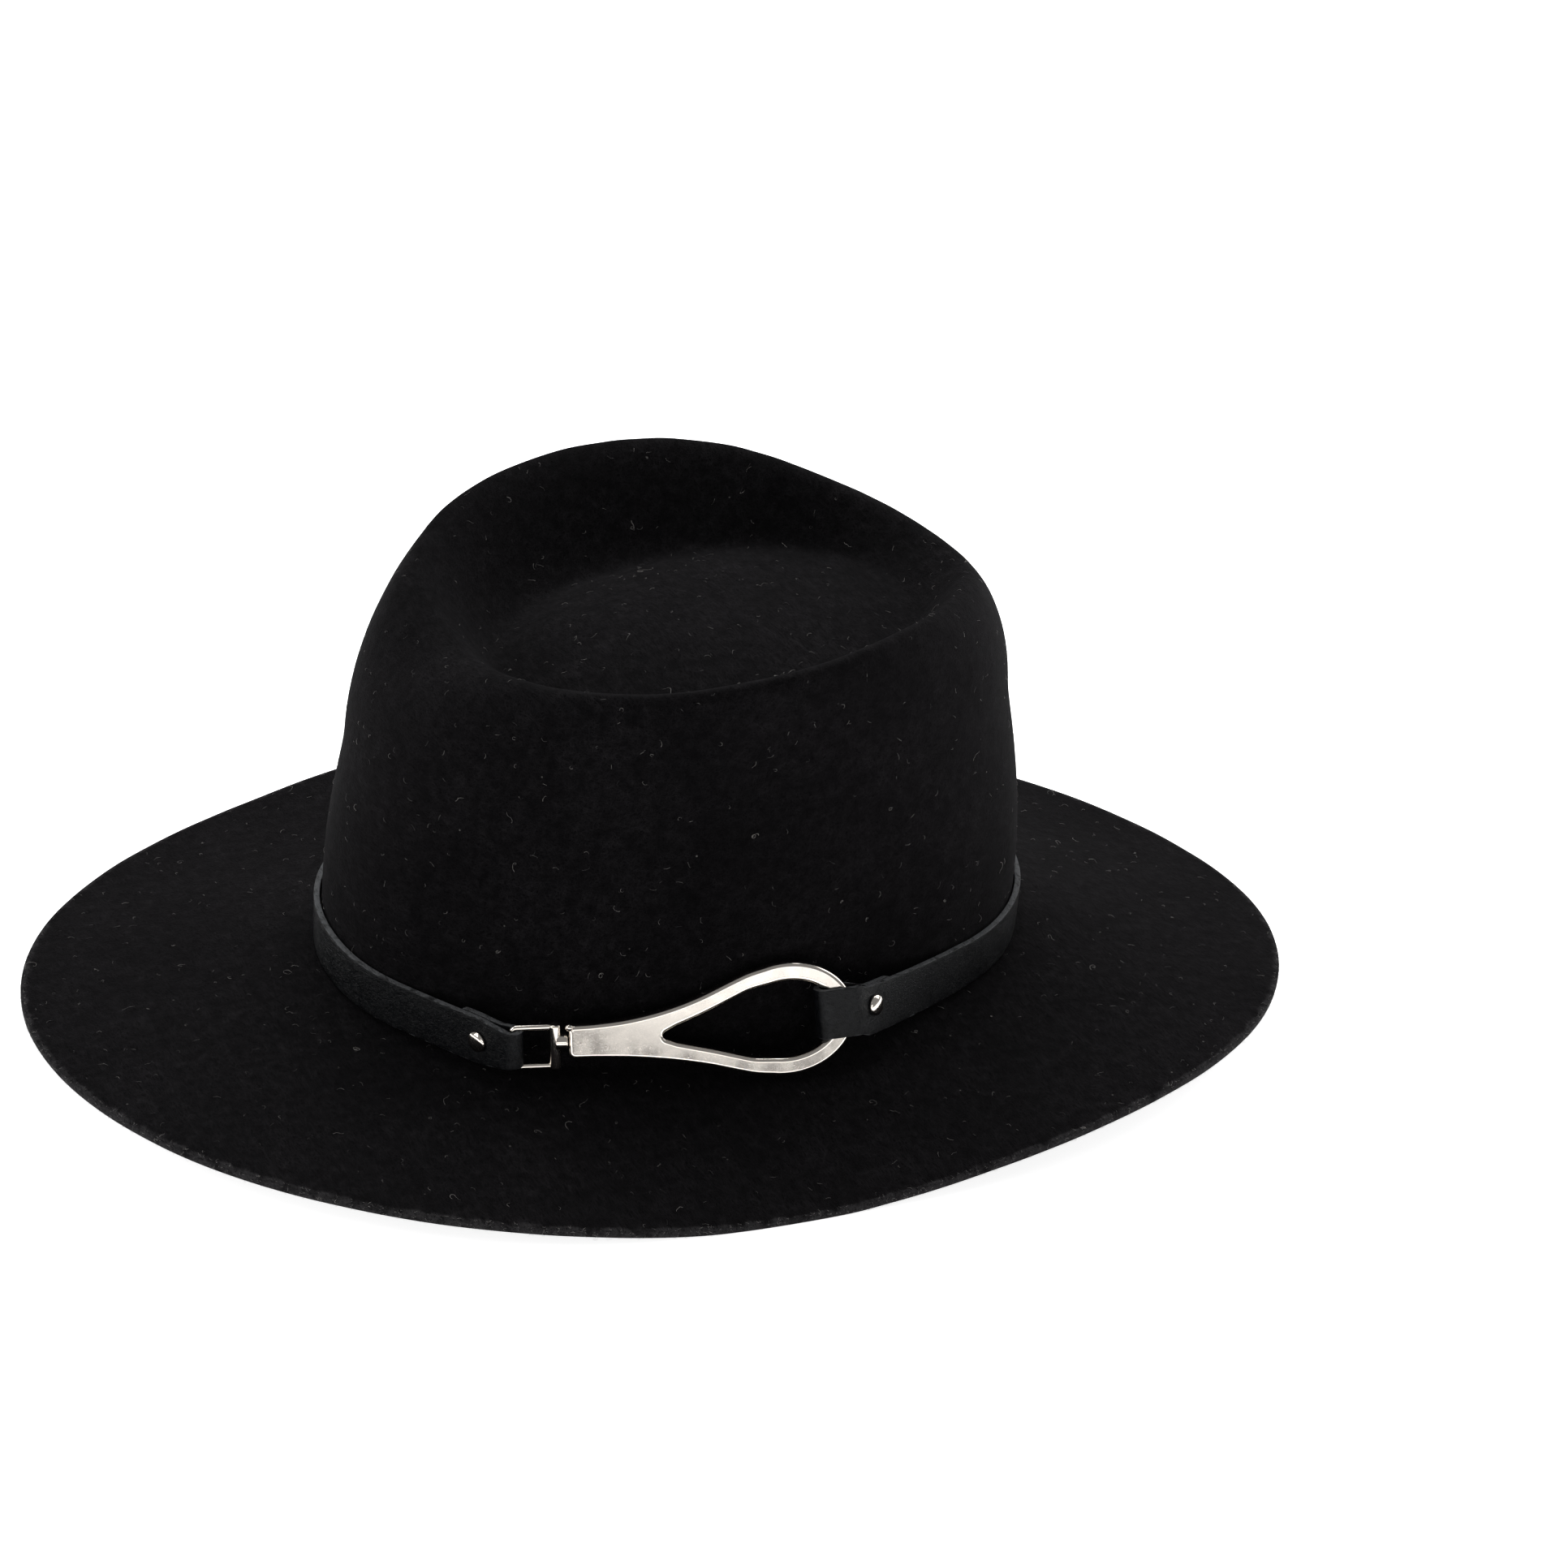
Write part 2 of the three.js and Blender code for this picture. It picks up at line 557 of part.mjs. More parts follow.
/** Stations of the strap's end at the ring, from the crown over the ring's bar to the cut tail. */
function ringEndStations() {
  const stations = [];
  for (const s of stretchStations.ringFront) {
    if (s < ringStretch.length - stretchStations.leastLeft) stations.push(ringStretch.at(s));
  }
  const { along, across, out } = hookFrame;
  const arrival = ringStretch.at(0).out;
  for (let i = 0; i <= ringCorner.steps; i += 1) {
    const facing = arrival.clone().lerp(out, i / ringCorner.steps).normalize();
    const centre = cornerPoint.clone().addScaledVector(facing, ringCorner.radius);
    stations.push({ centre, across, out: facing });
  }
  ringBend.forEach((row, i) => {
    const before = ringBend[Math.max(i - 1, 0)];
    const after = ringBend[Math.min(i + 1, ringBend.length - 1)];
    const facing = along.clone().multiplyScalar(before.out - after.out);
    facing.addScaledVector(out, after.along - before.along);
    const centre = new THREE.Vector3(row.along, 0, row.out).applyMatrix4(hookPose);
    stations.push({ centre, across, out: facing.negate().normalize() });
  });
  for (const s of stretchStations.ringTail) {
    const station = ringStretch.at(s);
    station.centre.addScaledVector(station.out, -layerPitch);
    stations.push({ ...station, out: station.out.negate() });
  }
  return stations.map((station) => ({ width: strap.width, ...station }));
}

/** A flat ribbon through the stations, closed by its two cut ends. */
function ribbonGeometry(stations) {
  const points = [];
  const faces = [];
  for (const { centre, across, out, width } of stations) {
    for (const [side, face] of [[-1, 1], [1, 1], [1, -1], [-1, -1]]) {
      const corner = centre.clone().addScaledVector(across, (side * width) / 2);
      points.push(corner.addScaledVector(out, (face * strap.thickness) / 2));
    }
  }
  for (let i = 0; i + 1 < stations.length; i += 1) {
    for (let k = 0; k < 4; k += 1) {
      const a = 4 * i + k;
      const b = 4 * i + ((k + 1) % 4);
      faces.push([a, b, b + 4], [a, b + 4, a + 4]);
    }
  }
  const last = 4 * (stations.length - 1);
  faces.push([0, 2, 1], [0, 3, 2], [last, last + 1, last + 2], [last, last + 2, last + 3]);
  return indexedGeometry(points, faces);
}

/** Pose of a rivet: its own Z runs out through the strap's outer face. */
function rivetPose({ centre, across, out }, offMiddle) {
  const sideways = across.clone().cross(out).normalize();
  const place = centre.clone().addScaledVector(across, offMiddle);
  return new THREE.Matrix4().makeBasis(sideways, across, out).setPosition(place);
}

/** A rivet: domed head, post through both layers and a flat back. */
function rivetGeometry() {
  const seat = strap.thickness / 2 + gap;
  const back = -layerPitch - strap.thickness / 2 - gap;
  const profile = [[0, seat + rivet.headHeight]];
  for (const angle of rivet.domeAngles) {
    const spread = rivet.headRadius * Math.sin(angle * degrees);
    const dome = (rivet.headHeight - rivet.skirt) * Math.cos(angle * degrees);
    profile.push([spread, seat + rivet.skirt + dome]);
  }
  profile.push([rivet.headRadius, seat + rivet.skirt], [rivet.headRadius, seat], [rivet.postRadius, seat]);
  profile.push([rivet.postRadius, back], [rivet.backRadius, back]);
  profile.push([rivet.backRadius, back - rivet.backThickness], [0, back - rivet.backThickness]);
  const outline = profile.reverse().map(([x, y]) => new THREE.Vector2(x, y));
  const lathe = new THREE.LatheGeometry(outline, rivet.sides);
  return geometryOf(solidOf(lathe.rotateX(Math.PI / 2)));
}

/** The strap, with a hole for each rivet through both of its layers. */
function strapGeometry(poses) {
  const ribbon = ribbonGeometry([...eyeEndStations(), ...crownStations(), ...ringEndStations()]);
  const radius = rivet.postRadius + gap;
  let solid = solidOf(ribbon);
  for (const rivetPlace of poses) {
    const hole = new THREE.CylinderGeometry(radius, radius, 4 * layerPitch, sides.rivetHole);
    solid = solid.subtract(solidOf(hole.rotateX(Math.PI / 2).applyMatrix4(rivetPlace)));
  }
  return geometryOf(solid);
}

/** Adds one named piece to a group. */
function addPiece(group, name, geometry, material, pose) {
  const mesh = new THREE.Mesh(geometry, material);
  mesh.name = name;
  if (pose) mesh.applyMatrix4(pose);
  group.add(mesh);
}

const pose = centredPose();
const rivets = {
  rivet_left: rivetPose(eyeStretch.at(rivetAt.eyeEnd), 0),
  rivet_right: rivetPose(ringStretch.at(rivetAt.ringEnd), rivetAt.ringEndAcross),
};

const fedora = new THREE.Group();
fedora.name = 'fedora';
addPiece(fedora, 'felt_body', feltGeometry(pose), materials.felt);

const trim = new THREE.Group();
trim.applyMatrix4(pose);
addPiece(trim, 'strap', strapGeometry(Object.values(rivets)), materials.leather);
addPiece(trim, 'hook_body', hookGeometry(), materials.nickel, hookPose);
addPiece(trim, 'swivel_eye', eyeGeometry(), materials.nickel, eyePose);
for (const [name, rivetAtStrap] of Object.entries(rivets)) {
  addPiece(trim, name, rivetGeometry(), materials.nickel, rivetAtStrap);
}
fedora.add(trim);

export default fedora;
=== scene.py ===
"""Looks of a wide-brim felt fedora with a leather strap and a swivel-hook buckle.

Sizes are millimetres in the hat's own frame, where the break between crown and brim is
the plane z = 0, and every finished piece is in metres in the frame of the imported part.
"""
import logging
import math
import random
from dataclasses import dataclass, field
from enum import Enum
from typing import Callable

import bpy
from mathutils import Matrix, Vector


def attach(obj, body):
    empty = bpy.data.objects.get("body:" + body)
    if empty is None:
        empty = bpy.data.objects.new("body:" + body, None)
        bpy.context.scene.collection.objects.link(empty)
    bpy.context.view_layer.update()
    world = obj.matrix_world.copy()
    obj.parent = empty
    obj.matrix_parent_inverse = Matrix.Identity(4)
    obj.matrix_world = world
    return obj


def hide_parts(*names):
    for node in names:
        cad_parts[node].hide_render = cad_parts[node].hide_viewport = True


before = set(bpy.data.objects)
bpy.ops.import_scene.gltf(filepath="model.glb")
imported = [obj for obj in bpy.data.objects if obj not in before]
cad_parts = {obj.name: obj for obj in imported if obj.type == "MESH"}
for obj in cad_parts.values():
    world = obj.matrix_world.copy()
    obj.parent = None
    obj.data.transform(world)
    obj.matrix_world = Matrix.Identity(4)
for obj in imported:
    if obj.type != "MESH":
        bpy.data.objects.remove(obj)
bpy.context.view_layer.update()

MM = 0.001
UP = Vector((0.0, 0.0, 1.0))
BODY = "root"
log = logging.getLogger("fedora")


class Slot(Enum):
    """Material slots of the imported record."""

    FELT = "felt"
    LEATHER = "leather"
    NICKEL = "nickel"


class Cap(Enum):
    """How the first ring of a grown tube is closed."""

    FAN = "TRIFAN"
    FACE = "NGON"


def lerp(start: float, end: float, k: float) -> float:
    """Value a share k of the way from start to end."""
    return start + (end - start) * k


def select_only(*pieces: bpy.types.Object) -> None:
    """Selects these objects alone and makes the first one active.

    Args:
        pieces: Objects that the next operator acts on.
    """
    bpy.ops.object.select_all(action="DESELECT")
    for piece in pieces:
        piece.select_set(True)
    bpy.context.view_layer.objects.active = pieces[0] if pieces else None


def edit_mode(piece: bpy.types.Object, mode: str = "VERT") -> None:
    """Enters edit mode on one piece with nothing selected.

    Args:
        piece: Mesh object to edit.
        mode: Selection mode, VERT, EDGE or FACE.
    """
    select_only(piece)
    bpy.ops.object.mode_set(mode="EDIT")
    bpy.ops.mesh.select_mode(type=mode)
    bpy.ops.mesh.select_all(action="DESELECT")


def object_mode() -> None:
    """Leaves edit mode."""
    bpy.ops.object.mode_set(mode="OBJECT")


def apply_modifier(piece: bpy.types.Object, kind: str, **settings: object) -> None:
    """Adds one modifier to a piece and applies it.

    Args:
        piece: Mesh object that gets the modifier.
        kind: Blender's name for the modifier type.
        settings: Values of the modifier's own properties.
    """
    select_only(piece)
    modifier = piece.modifiers.new(kind.title(), kind)
    for name, value in settings.items():
        setattr(modifier, name, value)
    bpy.ops.object.modifier_apply(modifier=modifier.name)


def smooth(piece: bpy.types.Object, angle: float = 180.0) -> None:
    """Shades a piece smooth, except over edges sharper than an angle.

    Args:
        piece: Mesh object.
        angle: Sharpest edge, in degrees, that is still smooth.
    """
    select_only(piece)
    bpy.ops.object.shade_smooth_by_angle(angle=math.radians(angle), keep_sharp_edges=False)


def face_outwards(piece: bpy.types.Object) -> None:
    """Merges double points and turns every face outwards."""
    edit_mode(piece)
    bpy.ops.mesh.select_all(action="SELECT")
    bpy.ops.mesh.remove_doubles(threshold=1e-6)
    bpy.ops.mesh.normals_make_consistent(inside=False)
    object_mode()


def settle(piece: bpy.types.Object, matrix: Matrix) -> None:
    """Moves a mesh by a matrix and leaves its object at the origin.

    Args:
        piece: Mesh object whose place is in its own transform.
        matrix: Extra transform, applied after the object's own.
    """
    bpy.context.view_layer.update()
    piece.data.transform(matrix @ piece.matrix_world)
    piece.matrix_world = Matrix.Identity(4)
    piece.data.update()


def grow_tube(name: str, sides: int, rings: int, cap: Cap, closed: bool) -> bpy.types.Object:
    """Grows a straight tube from a circle, one extrusion for each ring.

    Args:
        name: Name of the new object.
        sides: Points round each ring.
        rings: Rings after the first one.
        cap: How the first ring is closed.
        closed: Whether the last ring gets a face as well.

    Returns:
        The tube, of radius 1, with ring number n at z = -n.
    """
    select_only()
    bpy.ops.mesh.primitive_circle_add(vertices=sides, radius=1.0, fill_type=cap.value)
    tube = bpy.context.object
    tube.name = name
    tube.data.name = name
    edit_mode(tube, "EDGE")
    bpy.ops.mesh.select_non_manifold()
    for _ in range(rings):
        bpy.ops.mesh.extrude_region_move(TRANSFORM_OT_translate={"value": (0.0, 0.0, -1.0)})
    if closed:
        bpy.ops.mesh.edge_face_add()
    object_mode()
    return tube


def shape_tube(tube: bpy.types.Object, sides: int, place: Callable[[int, int], Vector | None]) -> None:
    """Moves every point of a grown tube to its place.

    Args:
        tube: Object that grow_tube made.
        sides: Points round each ring.
        place: Gives the new place for a ring and a slot; slot -1 is the middle of a fan.
    """
    for vertex in tube.data.vertices:
        x, y, z = vertex.co
        away = math.hypot(x, y)
        slot = round(math.atan2(y, x) / (2 * math.pi) * sides) % sides if away > 0.5 else -1
        vertex.co = place(round(-z), slot)
    tube.data.update()


def set_point_values(piece: bpy.types.Object, name: str, values: list[float]) -> None:
    """Stores one number at each point of a mesh, for its material.

    Args:
        piece: Mesh object.
        name: Attribute name that the material reads.
        values: One value for each vertex.
    """
    attribute = piece.data.attributes.new(name, "FLOAT", "POINT")
    attribute.data.foreach_set("value", values)


@dataclass(frozen=True)
class CrownRow:
    """Section of the crown at one turn; crest is the rim's top, crease the dent's foot."""

    crest: float
    crest_height: float
    shoulder: float
    taper: float
    belly: float
    crease: float
    crease_height: float


@dataclass(frozen=True)
class EdgeWave:
    """One wave of the brim edge's rise and fall round the hat."""

    order: int
    cosine: float
    sine: float


@dataclass(frozen=True)
class HatStand:
    """How the hat leans on the surface that it rests on."""

    lean_x: float = 0.785
    lean_y: float = -1.32
    origin: tuple[float, float, float] = (2.8906, -0.1079, 16.8)

    def matrix(self) -> Matrix:
        """Matrix from the hat's frame to the part's frame, both in metres."""
        lean = Matrix.Rotation(math.radians(self.lean_x), 4, "X") @ Matrix.Rotation(
            math.radians(self.lean_y), 4, "Y")
        return Matrix.Translation(Vector(self.origin) * MM) @ lean

    def place(self, point: Vector) -> Vector:
        """A point of the hat, in millimetres, in the part's frame in metres."""
        return self.matrix() @ (point * MM)


@dataclass(frozen=True)
class HatBlock:
    """The wooden block's form: an oval head, a dented crown and a flat, waved brim."""

    half_length: float = 104.0
    half_width: float = 81.9
    squareness: float = 2.17
    egg: float = -0.01
    dent_middle: float = 100.5
    dent_wall_handle: float = 0.28
    dent_foot_rise: float = 0.3
    rim_roundness: float = 5.0
    rim_handle: float = 0.55
    far_side_rise: float = 2.2
    break_radius: float = 1.2
    brim_width: float = 76.4
    brim_front_extra: float = 10.0
    brim_shift: float = -2.1
    brim_dip: float = 0.5
    row_turn: float = 30.0
    rows: tuple[CrownRow, ...] = (
        CrownRow(86.4, 107.8, 33.4, 0.065, 2.8, 69, 99.5),
        CrownRow(78.8, 114.2, 35, 0.06, 2.65, 65, 98.5),
        CrownRow(77.7, 120.4, 33.3, 0.036, 0.5, 55.5, 96),
        CrownRow(79.3, 119.2, 33.6, 0.028, 0, 52, 92),
        CrownRow(80.1, 114, 35.5, 0.038, 0.4, 52, 89),
        CrownRow(77, 108.3, 39.9, 0.105, 2, 53, 87.5),
        CrownRow(70.2, 102.9, 40.7, 0.105, 2.1, 52.5, 87),
    )
    waves: tuple[EdgeWave, ...] = (
        EdgeWave(0, -9.3, 0.0),
        EdgeWave(1, -2.76, -1.23),
        EdgeWave(2, -1.49, -0.7),
        EdgeWave(3, -2.8, -5.23),
    )

    def crown(self, column: str, turn: float) -> float:
        """A column of the crown's rows at any turn, by a smooth curve through the rows.

        Args:
            column: Name of a CrownRow field.
            turn: Degrees round the hat from the front.

        Returns:
            The value at that turn, in millimetres or as a share.
        """
        folded = abs((turn + 900) % 360 - 180)
        last = len(self.rows) - 1
        place = folded / self.row_turn
        row = min(int(place), last - 1)
        values = []
        for i in range(row - 1, row + 3):
            mirrored = 2 * last - i if i > last else abs(i)
            values.append(getattr(self.rows[mirrored], column))
        before, start, end, after = values
        k = place - row
        slope_start = (end - before) / 2
        slope_end = (after - start) / 2
        return ((2 * k**3 - 3 * k**2 + 1) * start + (k**3 - 2 * k**2 + k) * slope_start
                + (3 * k**2 - 2 * k**3) * end + (k**3 - k**2) * slope_end)

    def head_radius(self, turn: float) -> float:
        """Distance from the head's middle to the foot of the crown."""
        c = math.cos(math.radians(turn))
        s = math.sin(math.radians(turn))
        power = self.squareness
        total = abs(c / self.half_length) ** power + abs(s / self.half_width) ** power
        return total ** (-1 / power) * (1 + self.egg * c**3)

    def head_point(self, turn: float) -> Vector:
        """Point on the head's oval."""
        angle = math.radians(turn)
        return Vector((math.cos(angle), math.sin(angle), 0.0)) * self.head_radius(turn)

    def head_normal(self, turn: float) -> Vector:
        """Direction straight out from the head's oval, in plan."""
        step = 0.5
        tangent = self.head_point(turn + step) - self.head_point(turn - step)
        return tangent.normalized().cross(UP)

    def edge_height(self, turn: float) -> float:
        """Height of the brim's edge above the break."""
        height = 0.0
        for wave in self.waves:
            angle = wave.order * math.radians(turn)
            height += wave.cosine * math.cos(angle) + wave.sine * math.sin(angle)
        return height

    def brim_point(self, turn: float, share: float) -> Vector:
        """Point on the brim's upper surface.

        Args:
            turn: Degrees round the hat.
            share: 0 at the break and 1 at the cut edge.

        Returns:
            The point in the hat's frame.
        """
        width = self.brim_width + self.brim_front_extra * math.cos(2 * math.radians(turn))
        point = self.head_point(turn) + self.head_normal(turn) * width * share
        point.x += self.brim_shift * share
        point.z = self.edge_height(turn) * (share + self.brim_dip * share * (1 - share))
        return point

    def wall_top(self, turn: float) -> float:
        """Height at which the straight wall meets the shoulder."""
        return self.crown("crest_height", turn) - self.crown("shoulder", turn)

    def wall_away(self, turn: float, height: float) -> float:
        """How far the straight wall stands out from the foot of the crown, at a height."""
        top = self.wall_top(turn)
        swell = math.sin(math.pi * (top - height) / (top - self.break_radius))
        return self.crown("belly", turn) * swell - self.crown("taper", turn) * height

    def dent_wall(self, turn: float, share: float) -> tuple[float, float]:
        """Radius and height on the dent's wall, from its crease (0) to the rim's top (1)."""
        crest, top, crease, foot = self.rim_and_crease(turn)
        inward = (crest - crease) * self.dent_wall_handle
        handles = ((crease, foot), (crease + inward, foot + inward * self.dent_foot_rise),
                   (crest - inward, top), (crest, top))
        return cubic(handles, share)

    def rim_and_crease(self, turn: float) -> tuple[float, float, float, float]:
        """Radius and height of the rim's top, and radius and height of the dent's crease."""
        top = self.crown("crest_height", turn) + self.far_side_rise * math.sin(math.radians(turn))
        return self.crown("crest", turn), top, self.crown("crease", turn), self.crown("crease_height", turn)

    def side(self, turn: float, share: float) -> tuple[float, float]:
        """Radius and height on the shoulder, from the rim's top (0) to the straight wall (1)."""
        crest, top, _, _ = self.rim_and_crease(turn)
        shoulder = self.crown("shoulder", turn)
        wall_top = self.wall_top(turn)
        wall_radius = self.head_radius(turn) + self.wall_away(turn, wall_top)
        outward = max((wall_radius - crest) * self.rim_handle, self.rim_roundness)
        handles = ((crest, top), (crest + outward, top),
                   (wall_radius, wall_top + shoulder * self.rim_handle), (wall_radius, wall_top))
        return cubic(handles, share)

    def wall(self, turn: float, share: float) -> tuple[float, float]:
        """Radius and height on the straight wall, from the shoulder (0) to the break (1)."""
        height = lerp(self.wall_top(turn), self.break_radius, share)
        return self.head_radius(turn) + self.wall_away(turn, height), height

    def dent_floor(self, turn: float, share: float) -> tuple[float, float]:
        """Radius and height on the dent's crowned floor, from its middle (0) to the crease (1)."""
        _, _, crease, foot = self.rim_and_crease(turn)
        return crease * share, foot + (self.dent_middle - foot) * (1 - share**2)


def cubic(points: tuple[tuple[float, float], ...], k: float) -> tuple[float, float]:
    """Point on a cubic curve with four handles, in the plane of radius and height."""
    weights = ((1 - k) ** 3, 3 * k * (1 - k) ** 2, 3 * k**2 * (1 - k), k**3)
    radius = sum(w * p[0] for w, p in zip(weights, points))
    height = sum(w * p[1] for w, p in zip(weights, points))
    return radius, height


def even_shares(count: int, first: float = 0.0) -> list[float]:
    """Evenly spread shares up to 1, leaving out the first.

    Args:
        count: How many shares.
        first: Share that the spread starts from.

    Returns:
        The shares in rising order, ending at 1.
    """
    return [lerp(first, 1.0, (i + 1) / count) for i in range(count)]


@dataclass
class FeltBody:
    """Crown and brim in one felt, blocked to shape, with a raw cut edge."""

    block: HatBlock
    stand: HatStand
    thickness: float = 2.5
    sides: int = 144
    floor_rings: int = 8
    dent_rings: int = 9
    shoulder_rings: int = 11
    wall_rings: int = 6
    break_turns: tuple[float, ...] = (20, 45, 70, 90)
    brim_rings: int = 15
    brim_start: float = 0.04
    edge_rounding: float = 0.45
    unevenness: float = 0.7
    unevenness_size: float = 38.0
    cut_unevenness: float = 0.35
    cut_unevenness_size: float = 7.0

    def section(self, turn: float) -> list[Vector]:
        """Points of the felt's upper surface at one turn, from dent to cut edge."""
        block = self.block
        profile = [block.dent_floor(turn, k) for k in even_shares(self.floor_rings, 0.02)]
        profile += [block.dent_wall(turn, k) for k in even_shares(self.dent_rings)]
        profile += [block.side(turn, k) for k in even_shares(self.shoulder_rings)]
        profile += [block.wall(turn, k) for k in even_shares(self.wall_rings)]
        angle = math.radians(turn)
        outwards = Vector((math.cos(angle), math.sin(angle), 0.0))
        points = [outwards * radius + UP * height for radius, height in profile]
        width = (block.brim_point(turn, 1.0) - block.head_point(turn)).length
        for bend in self.break_turns:
            away = block.break_radius * (1 - math.cos(math.radians(bend)))
            drop = block.break_radius * (1 - math.sin(math.radians(bend)))
            points.append(block.brim_point(turn, away / width) + UP * drop)
        points += [block.brim_point(turn, k) for k in even_shares(self.brim_rings, self.brim_start)]
        return points

    def build(self) -> bpy.types.Object:
        """Builds the felt as one closed body.

        Returns:
            The finished mesh object.
        """
        sections = [self.section(i * 360 / self.sides) for i in range(self.sides)]
        rings = len(sections[0]) - 1
        felt = grow_tube("felt_hat", self.sides, rings, Cap.FAN, closed=False)
        middle = Vector((0.0, 0.0, self.block.dent_middle))
        edge_ring = [round(-v.co.z) for v in felt.data.vertices]

        def place(ring: int, slot: int) -> Vector:
            """Point of the block for a ring and a slot."""
            return self.stand.place(sections[slot][ring] if slot >= 0 else middle)

        shape_tube(felt, self.sides, place)
        distances = []
        for ring in edge_ring:
            share = (ring - rings) / self.brim_rings + 1
            distances.append(max(1 - share, 0.0) * self.block.brim_width)
        set_point_values(felt, "cut_distance", distances)
        self.give_unevenness(felt)
        apply_modifier(felt, "SOLIDIFY", thickness=self.thickness * MM, offset=-1.0,
                       use_even_offset=True, use_quality_normals=True)
        self.round_cut_edge(felt, self.sides * (rings + 1) + 1)
        for vertex in felt.data.vertices:
            vertex.co.z = max(vertex.co.z, 0.0)
        apply_modifier(felt, "SUBSURF", levels=1, render_levels=1)
        smooth(felt)
        return felt

    def give_unevenness(self, felt: bpy.types.Object) -> None:
        """Presses the slight unevenness of hand-blocked felt into the sheet."""
        for name, size, depth in (("blocking", self.unevenness_size, self.unevenness),
                                  ("cutting", self.cut_unevenness_size, self.cut_unevenness)):
            texture = bpy.data.textures.new(f"felt_{name}", "CLOUDS")
            texture.noise_scale = size * MM
            texture.noise_depth = 1
            apply_modifier(felt, "DISPLACE", texture=texture, strength=depth * MM, mid_level=0.5,
                           texture_coords="LOCAL")

    def round_cut_edge(self, felt: bpy.types.Object, upper_points: int) -> None:
        """Rounds the two corners of the brim's cut edge.

        Args:
            felt: The felt with its thickness.
            upper_points: Vertices of the upper surface, which come first.
        """
        edit_mode(felt, "EDGE")
        object_mode()
        distance = felt.data.attributes["cut_distance"].data
        for edge in felt.data.edges:
            a, b = edge.vertices
            same_shell = (a < upper_points) == (b < upper_points)
            edge.select = same_shell and distance[a].value < 0.01 and distance[b].value < 0.01
        bpy.ops.object.mode_set(mode="EDIT")
        bpy.ops.mesh.bevel(offset=self.edge_rounding * MM, segments=2, affect="EDGES")
        object_mode()


@dataclass(frozen=True)
class Station:
    """One cross-section of the strap: its middle, its directions and its width."""

    centre: Vector
    across: Vector
    out: Vector
    width: float


def own_axes(origin: Vector, along: Vector, across: Vector) -> Matrix:
    """Matrix from a piece's own axes: along it, across it and out."""
    matrix = Matrix((along, across, along.cross(across))).transposed().to_4x4()
    matrix.translation = origin
    return matrix


@dataclass
class HookPlace:
    """Where the hook lies in the hat, as its own axes: along, across and out."""

    ring_middle: tuple[float, float, float] = (-3.2, -88.9, 14.45)
    heading: float = -8.0
    rise: float = 2.1
    lean: float = 18.0
    ring_along: float = 62.0
    bend_from: float = 40.0
    bend_radius: float = 200.0

    def axes(self) -> tuple[Vector, Vector, Vector]:
        """Directions along the hook, across it and out from the crown."""
        heading = math.radians(self.heading)
        rise = math.tan(math.radians(self.rise))
        along = Vector((math.cos(heading), math.sin(heading), rise)).normalized()
        upright = (UP - along * along.z).normalized()
        across = Matrix.Rotation(-math.radians(self.lean), 3, along) @ upright
        return along, across, along.cross(across)

    def matrix(self) -> Matrix:
        """Matrix from the flat hook's own axes to the hat, in millimetres."""
        along, across, _ = self.axes()
        return own_axes(Vector(self.ring_middle) - along * self.ring_along, along, across)

    def point(self, along: float, across: float, out: float) -> Vector:
        """A point given along, across and out of the hook, in the hat's frame."""
        return self.matrix() @ Vector((along, across, out))

    def bent(self, point: Vector) -> Vector:
        """Where a point of the flat hook lies once the shank is bent about the upright."""
        if point.x >= self.bend_from:
            return point.copy()
        axis = self.bend_axis()
        centre = axis.cross(Vector((self.bend_radius, 0.0, 0.0)))
        turn = Matrix.Rotation((point.x - self.bend_from) / self.bend_radius, 3, axis)
        moved = turn @ (Vector((0.0, point.y, point.z)) - centre) + centre
        moved.x += self.bend_from
        return moved

    def bend_axis(self) -> Vector:
        """The upright that the shank is bent about, in the hook's own frame."""
        lean = math.radians(self.lean)
        return Vector((0.0, math.cos(lean), math.sin(lean)))

    def swivel(self) -> Matrix:
        """Matrix from the swivel's own axes to the hat, in millimetres."""
        turn = Matrix.Rotation(-self.bend_from / self.bend_radius, 4, self.bend_axis())
        turn.translation = self.bent(Vector((0.0, 0.0, 0.0)))
        return self.matrix() @ turn


@dataclass(frozen=True)
class FreeStretch:
    """The strap between the crown and a bar, straight in plan and easing up to the bar."""

    start: Vector
    leave: Station
    bar_across: Vector
    rise: float
    middle: float
    ease_length: float

    @property
    def length(self) -> float:
        """Length in plan from the bar to where the strap meets the crown."""
        return math.hypot(self.start.x - self.leave.centre.x, self.start.y - self.leave.centre.y)

    @property
    def whole(self) -> float:
        """Length over which the strap rises, part of it on the crown."""
        return self.length + self.ease_length

    def rise_at(self, s: float) -> float:
        """Rise above the strap's usual height at a distance from the bar."""
        return self.rise * max(1 - s / self.whole, 0.0) ** 2

    def ahead_at(self, s: float) -> Vector:
        """Direction away from the bar at a distance from it."""
        level = self.leave.centre - self.start
        level.z = 0.0
        level.normalize()
        level.z = -2 * self.rise * (1 - s / self.whole) / self.whole
        return level.normalized()

    def at(self, s: float, width: float) -> Station:
        """Cross-section of the strap at a distance from the bar."""
        ease = (1 - s / self.whole) ** 2
        centre = self.start.lerp(self.leave.centre, s / self.length)
        centre.z = self.middle + self.rise * ease
        ahead = self.ahead_at(s)
        across = self.leave.across.lerp(self.bar_across, ease)
        across = (across - ahead * across.dot(ahead)).normalized()
        out = across.cross(ahead)
        if out.dot(self.leave.out) < 0:
            out.negate()
        return Station(centre, across, out, width)


